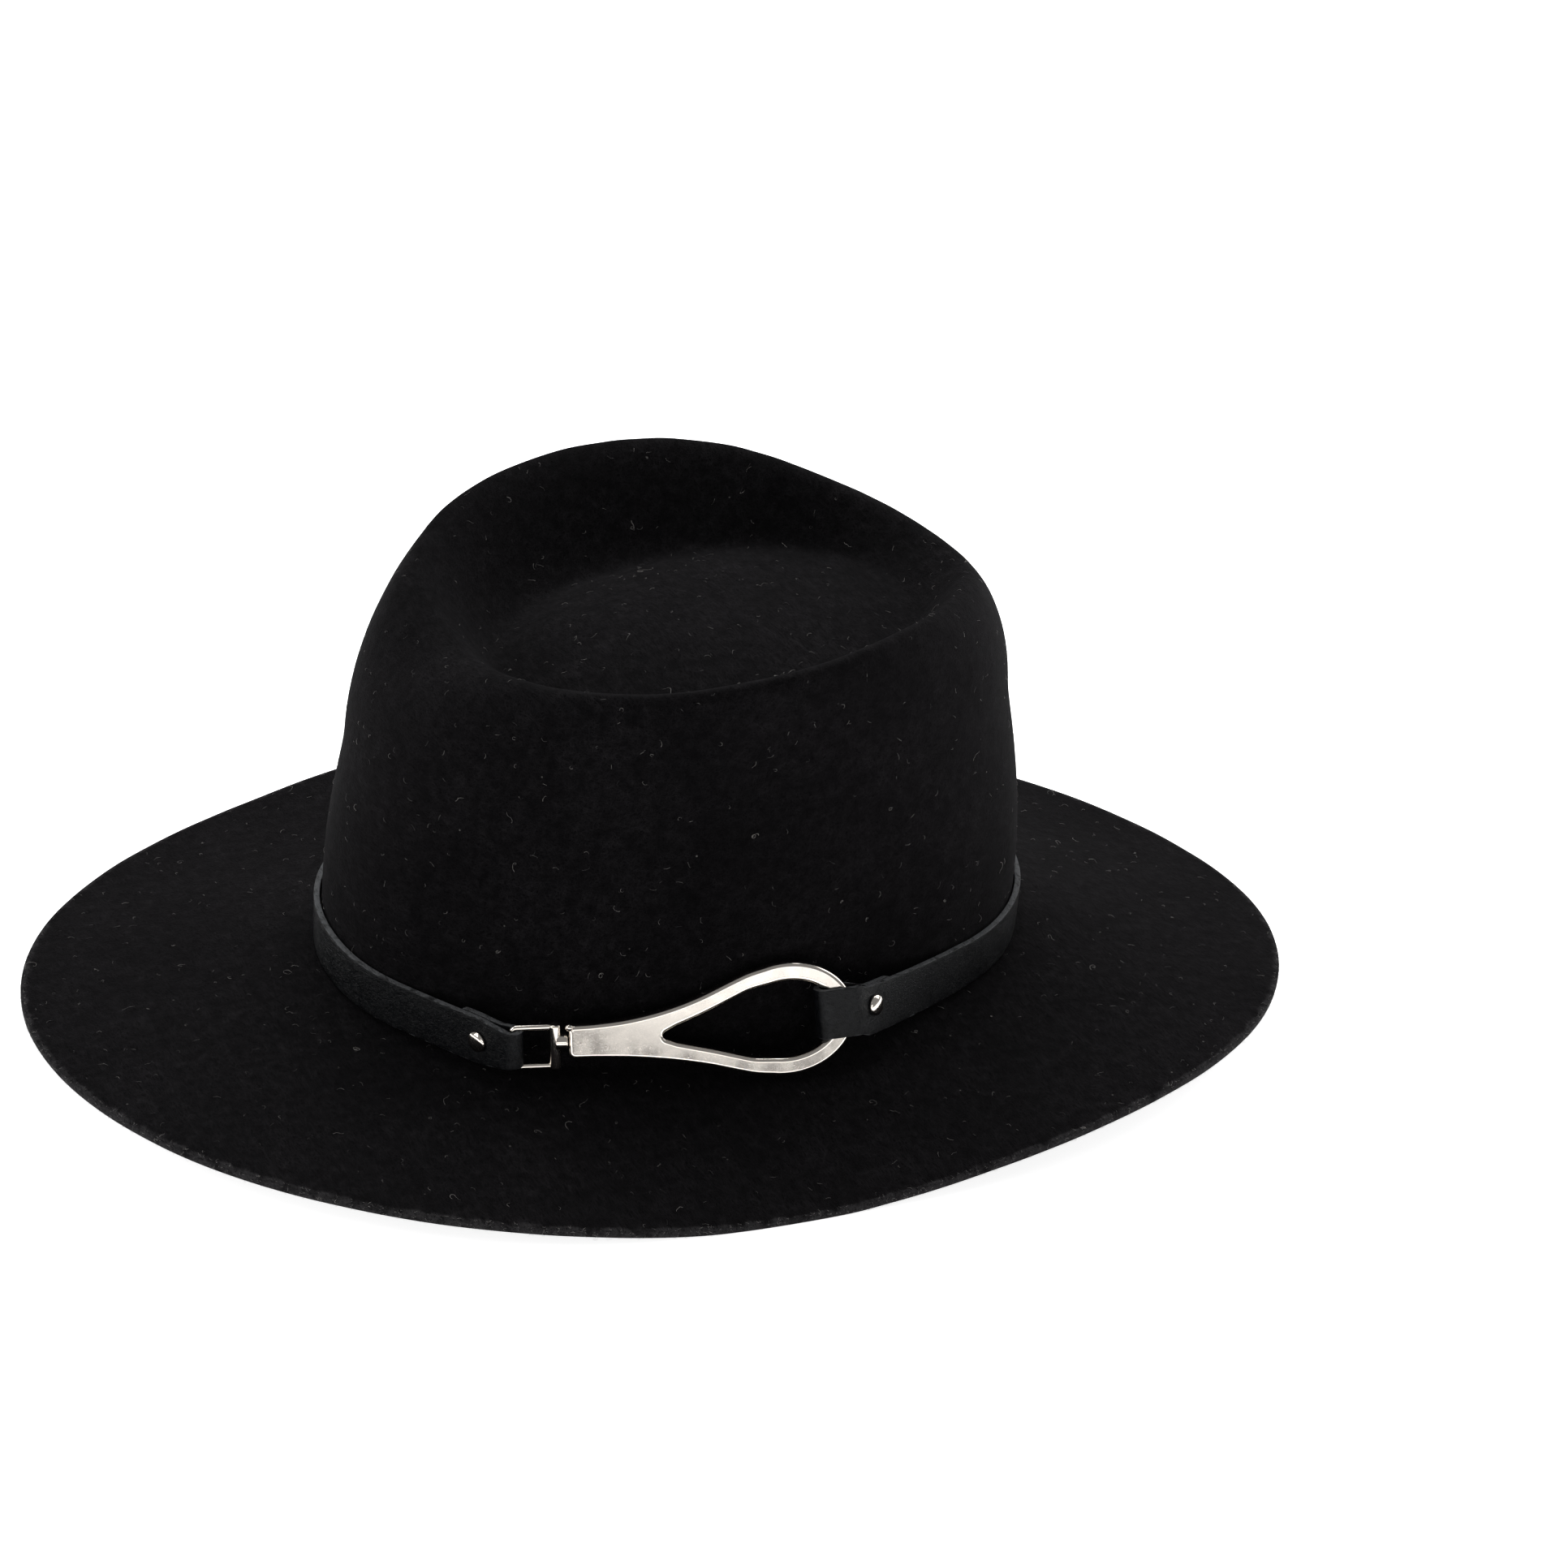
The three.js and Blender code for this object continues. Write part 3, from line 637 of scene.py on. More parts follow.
@dataclass
class StrapRoute:
    """The strap's way round the crown, folded round the eye's bar and round the ring."""

    block: HatBlock
    hook: HookPlace
    gap: float = 0.3
    crown_gap: float = 0.45
    fold_gap: float = 0.5
    width: float = 14.1
    thickness: float = 1.8
    middle: float = 7.85
    window_width: float = 10.8
    fold_width: float = 11.6
    taper_length: float = 10.0
    eye_tail: float = 19.0
    ring_tail: float = 17.0
    ease_length: float = 26.0
    eye_left: float = -16.7
    eye_drop: float = 1.3
    eye_bar_radius: float = 0.95
    corner_along: float = 80.9
    corner_out: float = -0.6
    corner_radius: float = 4.2
    spread_start: float = 7.0
    free_step: float = 2.0
    crown_step: float = 3.0
    bend_steps: int = 16
    ring_bend: tuple[tuple[float, float], ...] = (
        (79.4, 3.6), (75.6, 3.6), (73.5, 3.4), (72.2, 2.4), (71.9, 0),
        (72.2, -2.4), (73.5, -3.4), (76.5, -3.6), (81.6, -3.6),
    )

    def __post_init__(self) -> None:
        """Works out where the strap leaves the crown for the eye and for the ring."""
        _, across, _ = self.hook.axes()
        swivel = self.hook.swivel()
        along = swivel.col[0].to_3d()
        bar = swivel @ Vector((self.eye_left + self.eye_bar_radius, 0.0, 0.0)) - UP * self.eye_drop
        self.eye_bar = bar
        self.eye_wrap = self.eye_bar_radius + self.fold_gap + self.thickness / 2
        self.layer_pitch = self.thickness + self.gap
        self.eye_turn = self.leaving_turn(bar, self.eye_wrap, 180.0, 240.0)
        self.eye_stretch = self.stretch(bar, self.eye_wrap, self.eye_turn, across)
        self.eye_across = along.cross(self.eye_stretch.ahead_at(0.0)).normalized()
        self.eye_stretch = self.stretch(bar, self.eye_wrap, self.eye_turn, self.eye_across)
        self.corner = self.hook.point(self.corner_along, 0.0, self.corner_out)
        self.ring_turn = self.leaving_turn(self.corner, self.corner_radius, -20.0, -90.0)
        self.ring_stretch = self.stretch(self.corner, self.corner_radius, self.ring_turn, across)

    def on_crown(self, turn: float, rise: float) -> Station:
        """Cross-section of the strap where it lies on the crown."""
        height = self.middle + rise
        half = self.width / 2
        block = self.block
        slope = (block.wall_away(turn, height + half) - block.wall_away(turn, height - half)) / self.width
        normal = block.head_normal(turn)
        away = self.crown_gap + self.thickness / 2 + block.wall_away(turn, height)
        centre = block.head_point(turn) + normal * away
        centre.z = height
        across = (UP + normal * slope).normalized()
        return Station(centre, across, normal, self.width)

    def leaving_turn(self, bar: Vector, distance: float, near: float, far: float) -> float:
        """Turn at which the strap leaves the crown for a bar that it passes at a distance."""
        for _ in range(40):
            turn = (near + far) / 2
            station = self.on_crown(turn, 0.0)
            if (bar - station.centre).dot(station.out) + distance > 0:
                far = turn
            else:
                near = turn
        return (near + far) / 2

    def stretch(self, bar: Vector, distance: float, turn: float, across: Vector) -> FreeStretch:
        """The free stretch between a bar and the crown."""
        leave = self.on_crown(turn, 0.0)
        return FreeStretch(bar + leave.out * distance, leave, across, bar.z - self.middle,
                           self.middle, self.ease_length)

    def width_near_eye(self, s: float) -> float:
        """Width of the strap by its distance from the eye's bar."""
        return lerp(self.fold_width, self.width, min(s / self.taper_length, 1.0))

    def spread_distances(self, start: float, end: float) -> list[float]:
        """Distances from start to end in even steps near the free step."""
        count = max(round(abs(end - start) / self.free_step), 1)
        return [lerp(start, end, i / count) for i in range(count + 1)]

    def eye_end(self) -> list[Station]:
        """Stations from the cut tail round the eye's bar to the crown."""
        stations = []
        for s in self.spread_distances(self.eye_tail, 1.0):
            front = self.eye_stretch.at(s, self.width_near_eye(s))
            closing = max(1 - s / self.spread_start, 0.0) ** 2
            back = self.layer_pitch + (2 * self.eye_wrap - self.layer_pitch) * closing
            stations.append(Station(front.centre - front.out * back, front.across, -front.out, front.width))
        front = self.eye_stretch.at(0.0, self.fold_width)
        ahead = self.eye_stretch.ahead_at(0.0)
        for i in range(self.bend_steps + 1):
            angle = math.pi * i / self.bend_steps
            facing = -front.out * math.cos(angle) - ahead * math.sin(angle)
            width = lerp(self.fold_width, self.window_width, min(2 * math.sin(angle), 1.0))
            stations.append(Station(self.eye_bar + facing * self.eye_wrap, front.across, facing, width))
        last = self.eye_stretch.length - self.free_step
        for s in self.spread_distances(self.free_step, last):
            stations.append(self.eye_stretch.at(s, self.width_near_eye(s)))
        return stations

    def crown_run(self) -> list[Station]:
        """Stations where the strap lies on the crown."""
        count = round((self.eye_turn - self.ring_turn) / self.crown_step)
        stations = []
        for i in range(count + 1):
            turn = lerp(self.eye_turn, self.ring_turn, i / count)
            from_eye = math.radians(self.eye_turn - turn) * self.block.half_length
            from_ring = math.radians(turn - self.ring_turn) * self.block.half_width
            rise = self.eye_stretch.rise_at(self.eye_stretch.length + from_eye)
            rise += self.ring_stretch.rise_at(self.ring_stretch.length + from_ring)
            stations.append(self.on_crown(turn, rise))
        return stations

    def ring_end(self) -> list[Station]:
        """Stations from the crown over the ring's bar to the cut tail."""
        along, across, out = self.hook.axes()
        stretch = self.ring_stretch
        last = stretch.length - self.free_step
        stations = [stretch.at(s, self.width) for s in self.spread_distances(last, self.free_step)]
        arrival = stretch.at(0.0, self.width).out
        corner_steps = 4
        for i in range(corner_steps + 1):
            facing = arrival.lerp(out, i / corner_steps).normalized()
            stations.append(Station(self.corner + facing * self.corner_radius, across, facing, self.width))
        bend = smooth_line(self.ring_bend, 3)
        for i, (s, w) in enumerate(bend):
            before = bend[max(i - 1, 0)]
            after = bend[min(i + 1, len(bend) - 1)]
            facing = -(along * (before[1] - after[1]) - out * (before[0] - after[0])).normalized()
            stations.append(Station(self.hook.point(s, 0.0, w), across, facing, self.width))
        for s in self.spread_distances(4.0, self.ring_tail):
            front = stretch.at(s, self.width)
            centre = front.centre - front.out * self.layer_pitch
            stations.append(Station(centre, front.across, -front.out, self.width))
        return stations

    def stations(self) -> list[Station]:
        """All stations from one cut tail to the other."""
        return self.eye_end() + self.crown_run() + self.ring_end()


def smooth_line(points: tuple[tuple[float, float], ...], steps: int) -> list[tuple[float, float]]:
    """A Catmull-Rom line through points in a plane.

    Args:
        points: Points that the line passes through.
        steps: Steps between each two of them.

    Returns:
        The line's points, ends included.
    """
    line = []
    last = len(points) - 1
    for i in range(last):
        corners = [points[max(min(j, last), 0)] for j in (i - 1, i, i + 1, i + 2)]
        for step in range(steps):
            k = step / steps
            weights = ((-k + 2 * k**2 - k**3) / 2, (2 - 5 * k**2 + 3 * k**3) / 2,
                       (k + 4 * k**2 - 3 * k**3) / 2, (k**3 - k**2) / 2)
            line.append(tuple(sum(w * c[axis] for w, c in zip(weights, corners)) for axis in (0, 1)))
    line.append(points[last])
    return line


def even_line(points: list[tuple[float, float]], step: float) -> list[Vector]:
    """Points in even steps along a line.

    Args:
        points: Corners of the line.
        step: Distance between two points.

    Returns:
        The even points, both ends included.
    """
    corners = [Vector(point) for point in points]
    reached = [0.0]
    for before, after in zip(corners, corners[1:]):
        reached.append(reached[-1] + (after - before).length)
    count = round(reached[-1] / step)
    line = []
    part = 0
    for i in range(count + 1):
        distance = reached[-1] * i / count
        while part < len(corners) - 2 and reached[part + 1] < distance:
            part += 1
        length = max(reached[part + 1] - reached[part], 1e-9)
        line.append(corners[part].lerp(corners[part + 1], (distance - reached[part]) / length))
    return line


@dataclass
class Strap:
    """Leather strap with raw cut edges, in one length with both ends folded back."""

    route: StrapRoute
    stand: HatStand
    corner_radius: float = 0.28
    corner_steps: int = 3
    face_points: int = 3

    def section(self, width: float) -> list[tuple[float, float, float]]:
        """Outline of the strap's cross-section.

        Args:
            width: Width of the strap there.

        Returns:
            Points as (across, out, share of cut edge), anticlockwise.
        """
        points = []
        half_width = width / 2
        half_thickness = self.route.thickness / 2
        radius = self.corner_radius
        for start, side, face in ((0, 1, 1), (90, -1, 1), (180, -1, -1), (270, 1, -1)):
            for i in range(self.corner_steps + 1):
                angle = math.radians(start + 90 * i / self.corner_steps)
                across = side * (half_width - radius) + radius * math.cos(angle)
                out = face * (half_thickness - radius) + radius * math.sin(angle)
                points.append((across, out, abs(math.cos(angle))))
            if start in (0, 180):
                for i in range(self.face_points):
                    share = (i + 1) / (self.face_points + 1)
                    across = lerp(half_width - radius, -half_width + radius, share) * side
                    points.append((across, face * half_thickness, 0.0))
        return points

    def build(self) -> bpy.types.Object:
        """Builds the strap as one closed ribbon.

        Returns:
            The finished mesh object.
        """
        stations = self.route.stations()
        sides = len(self.section(self.route.width))
        strap = grow_tube("leather_strap", sides, len(stations) - 1, Cap.FACE, closed=True)
        rings = [round(-v.co.z) for v in strap.data.vertices]
        cut, bend = [], []

        def place(ring: int, slot: int) -> Vector:
            """Point of the ribbon for a station and a slot of its section."""
            station = stations[ring]
            across, out, edge = self.section(station.width)[slot]
            cut.append(edge)
            return self.stand.place(station.centre + station.across * across + station.out * out)

        shape_tube(strap, sides, place)
        tightness = self.tightness(stations)
        bend.extend(tightness[ring] for ring in rings)
        set_point_values(strap, "cut_edge", cut)
        set_point_values(strap, "bend", bend)
        face_outwards(strap)
        apply_modifier(strap, "SUBSURF", levels=1, render_levels=1)
        smooth(strap, 60.0)
        return strap

    def tightness(self, stations: list[Station]) -> list[float]:
        """How sharply the strap bends at each station, from 0 to 1, spread to its neighbours."""
        sharp = []
        for before, after in zip(stations, stations[1:] + stations[-1:]):
            length = max((after.centre - before.centre).length, 0.1)
            sharp.append(min(before.out.angle(after.out, 0.0) / length * 2.5, 1.0))
        reach = 3
        spread = []
        for i in range(len(sharp)):
            near = sharp[max(i - reach, 0):i + reach + 1]
            spread.append(sum(near) / len(near))
        return spread


@dataclass
class Rivet:
    """Domed nickel rivet with its post and its back plate."""

    name: str
    station: Station
    stand: HatStand
    head_radius: float = 3.0
    head_height: float = 1.4
    skirt: float = 0.35
    seat: float = 1.2
    post_radius: float = 1.2
    back_radius: float = 2.0
    back_thickness: float = 0.8
    off_middle: float = 0.0
    back: float = -3.3
    segments: int = 48

    def build(self) -> bpy.types.Object:
        """Builds the rivet from half a ball.

        Returns:
            The finished mesh object.
        """
        select_only()
        bpy.ops.mesh.primitive_uv_sphere_add(segments=self.segments, ring_count=24, radius=self.head_radius)
        rivet = bpy.context.object
        rivet.name = self.name
        edit_mode(rivet, "EDGE")
        bpy.ops.mesh.select_all(action="SELECT")
        bpy.ops.mesh.bisect(plane_co=(0, 0, 0), plane_no=(0, 0, 1), clear_inner=True)
        bpy.ops.mesh.select_all(action="SELECT")
        dome = (self.head_height - self.skirt) / self.head_radius
        bpy.ops.transform.resize(value=(1, 1, dome), center_override=(0, 0, 0))
        bpy.ops.mesh.select_all(action="DESELECT")
        bpy.ops.mesh.select_non_manifold()
        self.turn_down(self.skirt, 1.0)
        self.turn_down(0.0, self.post_radius / self.head_radius)
        self.turn_down(self.seat - self.back, 1.0)
        self.turn_down(0.0, self.back_radius / self.post_radius)
        self.turn_down(self.back_thickness, 0.96)
        bpy.ops.mesh.edge_face_add()
        bpy.ops.mesh.select_all(action="SELECT")
        bpy.ops.transform.translate(value=(0, 0, self.seat + self.skirt))
        object_mode()
        face_outwards(rivet)
        apply_modifier(rivet, "BEVEL", width=0.12, segments=3, limit_method="ANGLE",
                       angle_limit=math.radians(40))
        smooth(rivet, 50.0)
        sideways = self.station.across.cross(self.station.out).normalized()
        own = Matrix((sideways, self.station.across, self.station.out)).transposed().to_4x4()
        own.translation = self.station.centre + self.station.across * self.off_middle
        settle(rivet, self.stand.matrix() @ Matrix.Scale(MM, 4) @ own)
        return rivet

    def turn_down(self, depth: float, scale: float) -> None:
        """Extrudes the selected ring down and in or out.

        Args:
            depth: Distance down, in millimetres.
            scale: Size of the new ring as a share of the last.
        """
        bpy.ops.mesh.extrude_region_move(TRANSFORM_OT_translate={"value": (0, 0, -depth)})
        bpy.ops.transform.resize(value=(scale, scale, 1), center_override=(0, 0, 0))


@dataclass(frozen=True)
class EdgePoint:
    """A point on an outline of the hook, with the direction into the metal."""

    place: Vector
    inwards: Vector


@dataclass
class Hook:
    """Polished hook: a flat shank that opens into a teardrop ring."""

    place: HookPlace
    stand: HatStand
    thickness: float = 4.8
    rounding: float = 1.25
    rounding_steps: int = 6
    holding: float = 0.12
    corner_radius: float = 1.7
    hole_tip: float = 26.4
    tip_radius: float = 1.1
    ring_length: float = 19.9
    ring_width: float = 16.2
    hole_length: float = 14.9
    hole_width: float = 10.9
    arc: float = 105.0
    nub_radius: float = 1.25
    nub_across: float = 4.3
    nub_out: float = 1.6
    end_stations: int = 16
    shank_stations: int = 30
    ring_stations: int = 120
    flat_rows: int = 6
    fan_from: float = 4.0
    fan_to: float = 5.0
    side_from: float = 2.4
    side_to: float = 21.0
    sections: tuple[tuple[float, float], ...] = (
        (0, 4.85), (8, 5), (17, 5.7), (27, 7.3), (37, 9.8), (47, 13.2), (52, 14.75),
    )
    hole_sections: tuple[tuple[float, float], ...] = (
        (30, 2.3), (37, 4.5), (42, 6.2), (47, 8), (52, 9.65),
    )

    def oval(self, length: float, width: float, degrees: float) -> tuple[float, float]:
        """Point on a half oval about the ring's middle."""
        angle = math.radians(degrees)
        return self.place.ring_along + length * math.cos(angle), width * math.sin(angle)

    def outline(self, start: list[tuple[float, float]], sections: tuple[tuple[float, float], ...],
                length: float, width: float) -> list[EdgePoint]:
        """Upper half of an outline, in even steps, from the narrow end to the ring's far end.

        Args:
            start: Points at the narrow end, before the smooth side.
            sections: Points (along, half width) of the smooth side.
            length: Half length of the oval that ends the outline.
            width: Half width of that oval.

        Returns:
            The outline's points, with their directions to the left of the way.
        """
        steps = 40
        side = smooth_line((*sections, self.oval(length, width, self.arc)), steps)
        arc = [self.oval(length, width, self.arc * (1 - i / (4 * steps))) for i in range(1, 4 * steps + 1)]
        line = even_line([*start, *side, *arc], 0.05)
        points = []
        for i, place in enumerate(line):
            before = line[max(i - 2, 0)]
            after = line[min(i + 2, len(line) - 1)]
            way = (after - before).normalized()
            points.append(EdgePoint(place, Vector((way.y, -way.x))))
        for i, way in ((0, Vector((1.0, 0.0))), (len(points) - 1, Vector((-1.0, 0.0)))):
            points[i] = EdgePoint(points[i].place, way)
        return points

    def outer_line(self) -> list[EdgePoint]:
        """Outer outline, from the middle of the swivel end round its corner to the far end."""
        half = self.sections[0][1]
        radius = self.corner_radius
        corner = []
        for i in range(33):
            angle = math.radians(180 - 90 * i / 32)
            corner.append((radius + radius * math.cos(angle), half - radius + radius * math.sin(angle)))
        sections = ((radius * 1.5, half), *self.sections[1:])
        return self.outline([(0.0, 0.0), *corner], sections, self.ring_length, self.ring_width)

    def hole_line(self) -> list[EdgePoint]:
        """Outline of the hole, from its rounded tip to its far end, with metal outside it."""
        radius = self.tip_radius
        tip = []
        for i in range(25):
            angle = math.radians(180 - 66 * i / 24)
            tip.append((self.hole_tip + radius * (1 + math.cos(angle)), radius * math.sin(angle)))
        line = self.outline(tip, self.hole_sections, self.hole_length, self.hole_width)
        return [EdgePoint(point.place, -point.inwards) for point in line]

    def columns(self) -> list[list[Vector]]:
        """Quarter of the hook as columns of points, from the hole's wall to the outer wall.

        Returns:
            One column for each station from the swivel end to the ring's far end.
        """
        outer = self.outer_line()
        hole = self.hole_line()
        split_low = next(i for i, p in enumerate(outer) if p.place.x > self.side_from)
        split_high = next(i for i, p in enumerate(outer) if p.place.x > self.side_to)
        inner_end = self.hole_tip - self.rounding - self.holding
        columns = []
        for i in range(self.end_stations):
            k = i / self.end_stations
            inner = Vector((lerp(self.fan_from, self.fan_to, k), 0.0))
            columns.append(self.column(None, inner, outer[round(split_low * k)]))
        for i in range(self.shank_stations):
            k = i / self.shank_stations
            inner = Vector((lerp(self.fan_to, inner_end, k), 0.0))
            columns.append(self.column(None, inner, outer[round(lerp(split_low, split_high, k))]))
        for i in range(self.ring_stations + 1):
            k = (i / self.ring_stations) ** 1.25
            edge = hole[round((len(hole) - 1) * k)]
            inner = edge.place + edge.inwards * (self.rounding + self.holding)
            columns.append(self.column(edge, inner, outer[round(lerp(split_high, len(outer) - 1, k))]))
        return columns

    def column(self, hole: EdgePoint | None, inner: Vector, outer: EdgePoint) -> list[Vector]:
        """Points across the hook at one station, from the hole's wall to the outer wall.

        Args:
            hole: Point of the hole's outline, or None on the shank.
            inner: Where the flat face begins.
            outer: Point of the outer outline.

        Returns:
            The points, with their heights above the hook's middle plane.
        """
        top = self.thickness / 2
        points = []
        rows = range(self.rounding_steps + 2)
        for row in rows:
            if hole is None:
                points.append(inner.to_3d() + UP * top)
            else:
                points.append(self.rounded(hole, row))
        far = outer.place + outer.inwards * (self.rounding + self.holding)
        for row in range(self.flat_rows + 1):
            points.append(inner.lerp(far, row / self.flat_rows).to_3d() + UP * top)
        points += [self.rounded(outer, row) for row in reversed(rows)]
        return points

    def rounded(self, edge: EdgePoint, row: int) -> Vector:
        """Point on the wall or on its rounding, from the middle plane (row 0) to the flat face."""
        angle = math.radians(90 * max(row - 1, 0) / self.rounding_steps)
        place = edge.place + edge.inwards * self.rounding * (1 - math.cos(angle))
        height = self.thickness / 2 - self.rounding * (1 - math.sin(angle)) if row else 0.0
        return place.to_3d() + UP * height

    def build(self) -> bpy.types.Object:
        """Builds the hook from a quarter of it, mirrored twice and bent.

        Returns:
            The finished mesh object.
        """
        columns = self.columns()
        count = len(columns) - 1
        rows = len(columns[0]) - 1
        select_only()
        bpy.ops.mesh.primitive_grid_add(x_subdivisions=count, y_subdivisions=rows, size=2.0)
        hook = bpy.context.object
        hook.name = "hook"
        for vertex in hook.data.vertices:
            station = round((vertex.co.x + 1) / 2 * count)
            row = round((vertex.co.y + 1) / 2 * rows)
            vertex.co = columns[station][row]
        edit_mode(hook)
        bpy.ops.mesh.select_all(action="SELECT")
        bpy.ops.mesh.remove_doubles(threshold=1e-4)
        object_mode()
        self.delete_middle_faces(hook)
        apply_modifier(hook, "MIRROR", use_axis=(False, True, True), use_clip=True, merge_threshold=1e-3)
        face_outwards(hook)
        nub = self.build_nub()
        select_only(hook, nub)
        bpy.ops.object.join()
        for vertex in hook.data.vertices:
            vertex.co = self.place.bent(vertex.co)
        smooth(hook, 50.0)
        settle(hook, self.stand.matrix() @ Matrix.Scale(MM, 4) @ self.place.matrix())
        return hook

    def delete_middle_faces(self, hook: bpy.types.Object) -> None:
        """Deletes the faces that lie in the hook's plane of symmetry."""
        edit_mode(hook, "FACE")
        object_mode()
        vertices = hook.data.vertices
        for face in hook.data.polygons:
            face.select = all(abs(vertices[i].co.y) < 1e-5 for i in face.vertices)
        bpy.ops.object.mode_set(mode="EDIT")
        bpy.ops.mesh.delete(type="FACE")
        object_mode()

    def build_nub(self) -> bpy.types.Object:
        """Builds the small ball on the shank's upper corner."""
        select_only()
        middle = (0.2, self.nub_across, self.nub_out)
        bpy.ops.mesh.primitive_uv_sphere_add(segments=24, ring_count=16, radius=self.nub_radius, location=middle)
        nub = bpy.context.object
        edit_mode(nub)
        bpy.ops.mesh.select_all(action="SELECT")
        bpy.ops.transform.resize(value=(1.0, 0.9, 1.1), center_override=middle)
        object_mode()
        bpy.ops.object.transform_apply(location=True, rotation=True, scale=True)
        return nub


@dataclass
class SwivelEye:
    """Square wire eye on its barrel, with the collar that turns in the hook's end."""

    route: StrapRoute
    stand: HatStand
    right: float = -2.1
    height: float = 13.8
    corner: float = 1.4
    wire_radius: float = 0.9
    barrel_radius: float = 1.7
    barrel_bevel: float = 0.7
    collar_radius: float = 2.4
    collar_bevel: float = 0.5
    gap: float = 0.3

    def build(self) -> bpy.types.Object:
        """Builds the wire, the barrel and the collar and joins them.

        Returns:
            The finished mesh object.
        """
        wire = self.build_wire()
        middle = self.right - self.barrel_radius
        barrel = self.turned("barrel", self.barrel_radius, self.height, self.barrel_bevel,
                             Matrix.Translation((middle, 0, 0)) @ Matrix.Rotation(math.pi / 2, 4, "X"))
        length = -self.gap - middle
        collar = self.turned("collar", self.collar_radius, length, self.collar_bevel,
                             Matrix.Translation((middle + length / 2, 0, 0)) @ Matrix.Rotation(math.pi / 2, 4, "Y"))
        for piece in (wire, barrel):
            piece.data.transform(Matrix.Translation((0, -self.route.eye_drop, 0)))
        select_only(wire, barrel, collar)
        bpy.ops.object.join()
        eye = bpy.context.object
        eye.name = "swivel_eye_frame"
        smooth(eye, 45.0)
        swivel = self.route.hook.swivel()
        own = own_axes(swivel.translation, swivel.col[0].to_3d(), self.route.eye_across)
        settle(eye, self.stand.matrix() @ Matrix.Scale(MM, 4) @ own)
        return eye

    def build_wire(self) -> bpy.types.Object:
        """Builds the eye's three thin sides as one bent wire."""
        left = self.route.eye_left + self.route.eye_bar_radius
        middle = self.right - self.barrel_radius
        half = self.height / 2 - self.wire_radius
        path = [(middle, half)]
        for across, turn in ((1, 90), (-1, 180)):
            for i in range(7):
                angle = math.radians(turn + 15 * i)
                path.append((left + self.corner + self.corner * math.cos(angle),
                             across * (half - self.corner) + self.corner * math.sin(angle)))
        path.append((middle, -half))
        curve = bpy.data.curves.new("eye_wire", "CURVE")
        curve.dimensions = "3D"
        curve.bevel_depth = self.wire_radius
        curve.bevel_resolution = 6
        curve.use_fill_caps = True
        spline = curve.splines.new("POLY")
        spline.points.add(len(path) - 1)
        for point, (along, across) in zip(spline.points, path):
            point.co = (along, across, 0.0, 1.0)
        wire = bpy.data.objects.new("eye_wire", curve)
        bpy.context.scene.collection.objects.link(wire)
        select_only(wire)
        bpy.ops.object.convert(target="MESH")
        return bpy.context.object

    def turned(self, name: str, radius: float, length: float, bevel: float, matrix: Matrix) -> bpy.types.Object:
        """Makes a turned piece with rounded ends.

        Args:
            name: Name of the piece.
            radius: Its radius.
            length: Its length.
            bevel: Rounding of its two ends.
            matrix: Its place in the eye's own axes, with its axis along Z before.

        Returns:
            The mesh object.
        """
        select_only()
        bpy.ops.mesh.primitive_cylinder_add(vertices=40, radius=radius, depth=length)
        piece = bpy.context.object
        piece.name = name
        apply_modifier(piece, "BEVEL", width=bevel, segments=6, limit_method="ANGLE",
                       angle_limit=math.radians(60))
        settle(piece, matrix)
        return piece


@dataclass(frozen=True)
class FibreKind:
    """One kind of loose wool fibre on the felt."""

    name: str
    count: int
    length: tuple[float, float]
    curl: float
    lift: float
    radius: float
    steps: int
    shade: tuple[float, float]
    only_edge: bool = False


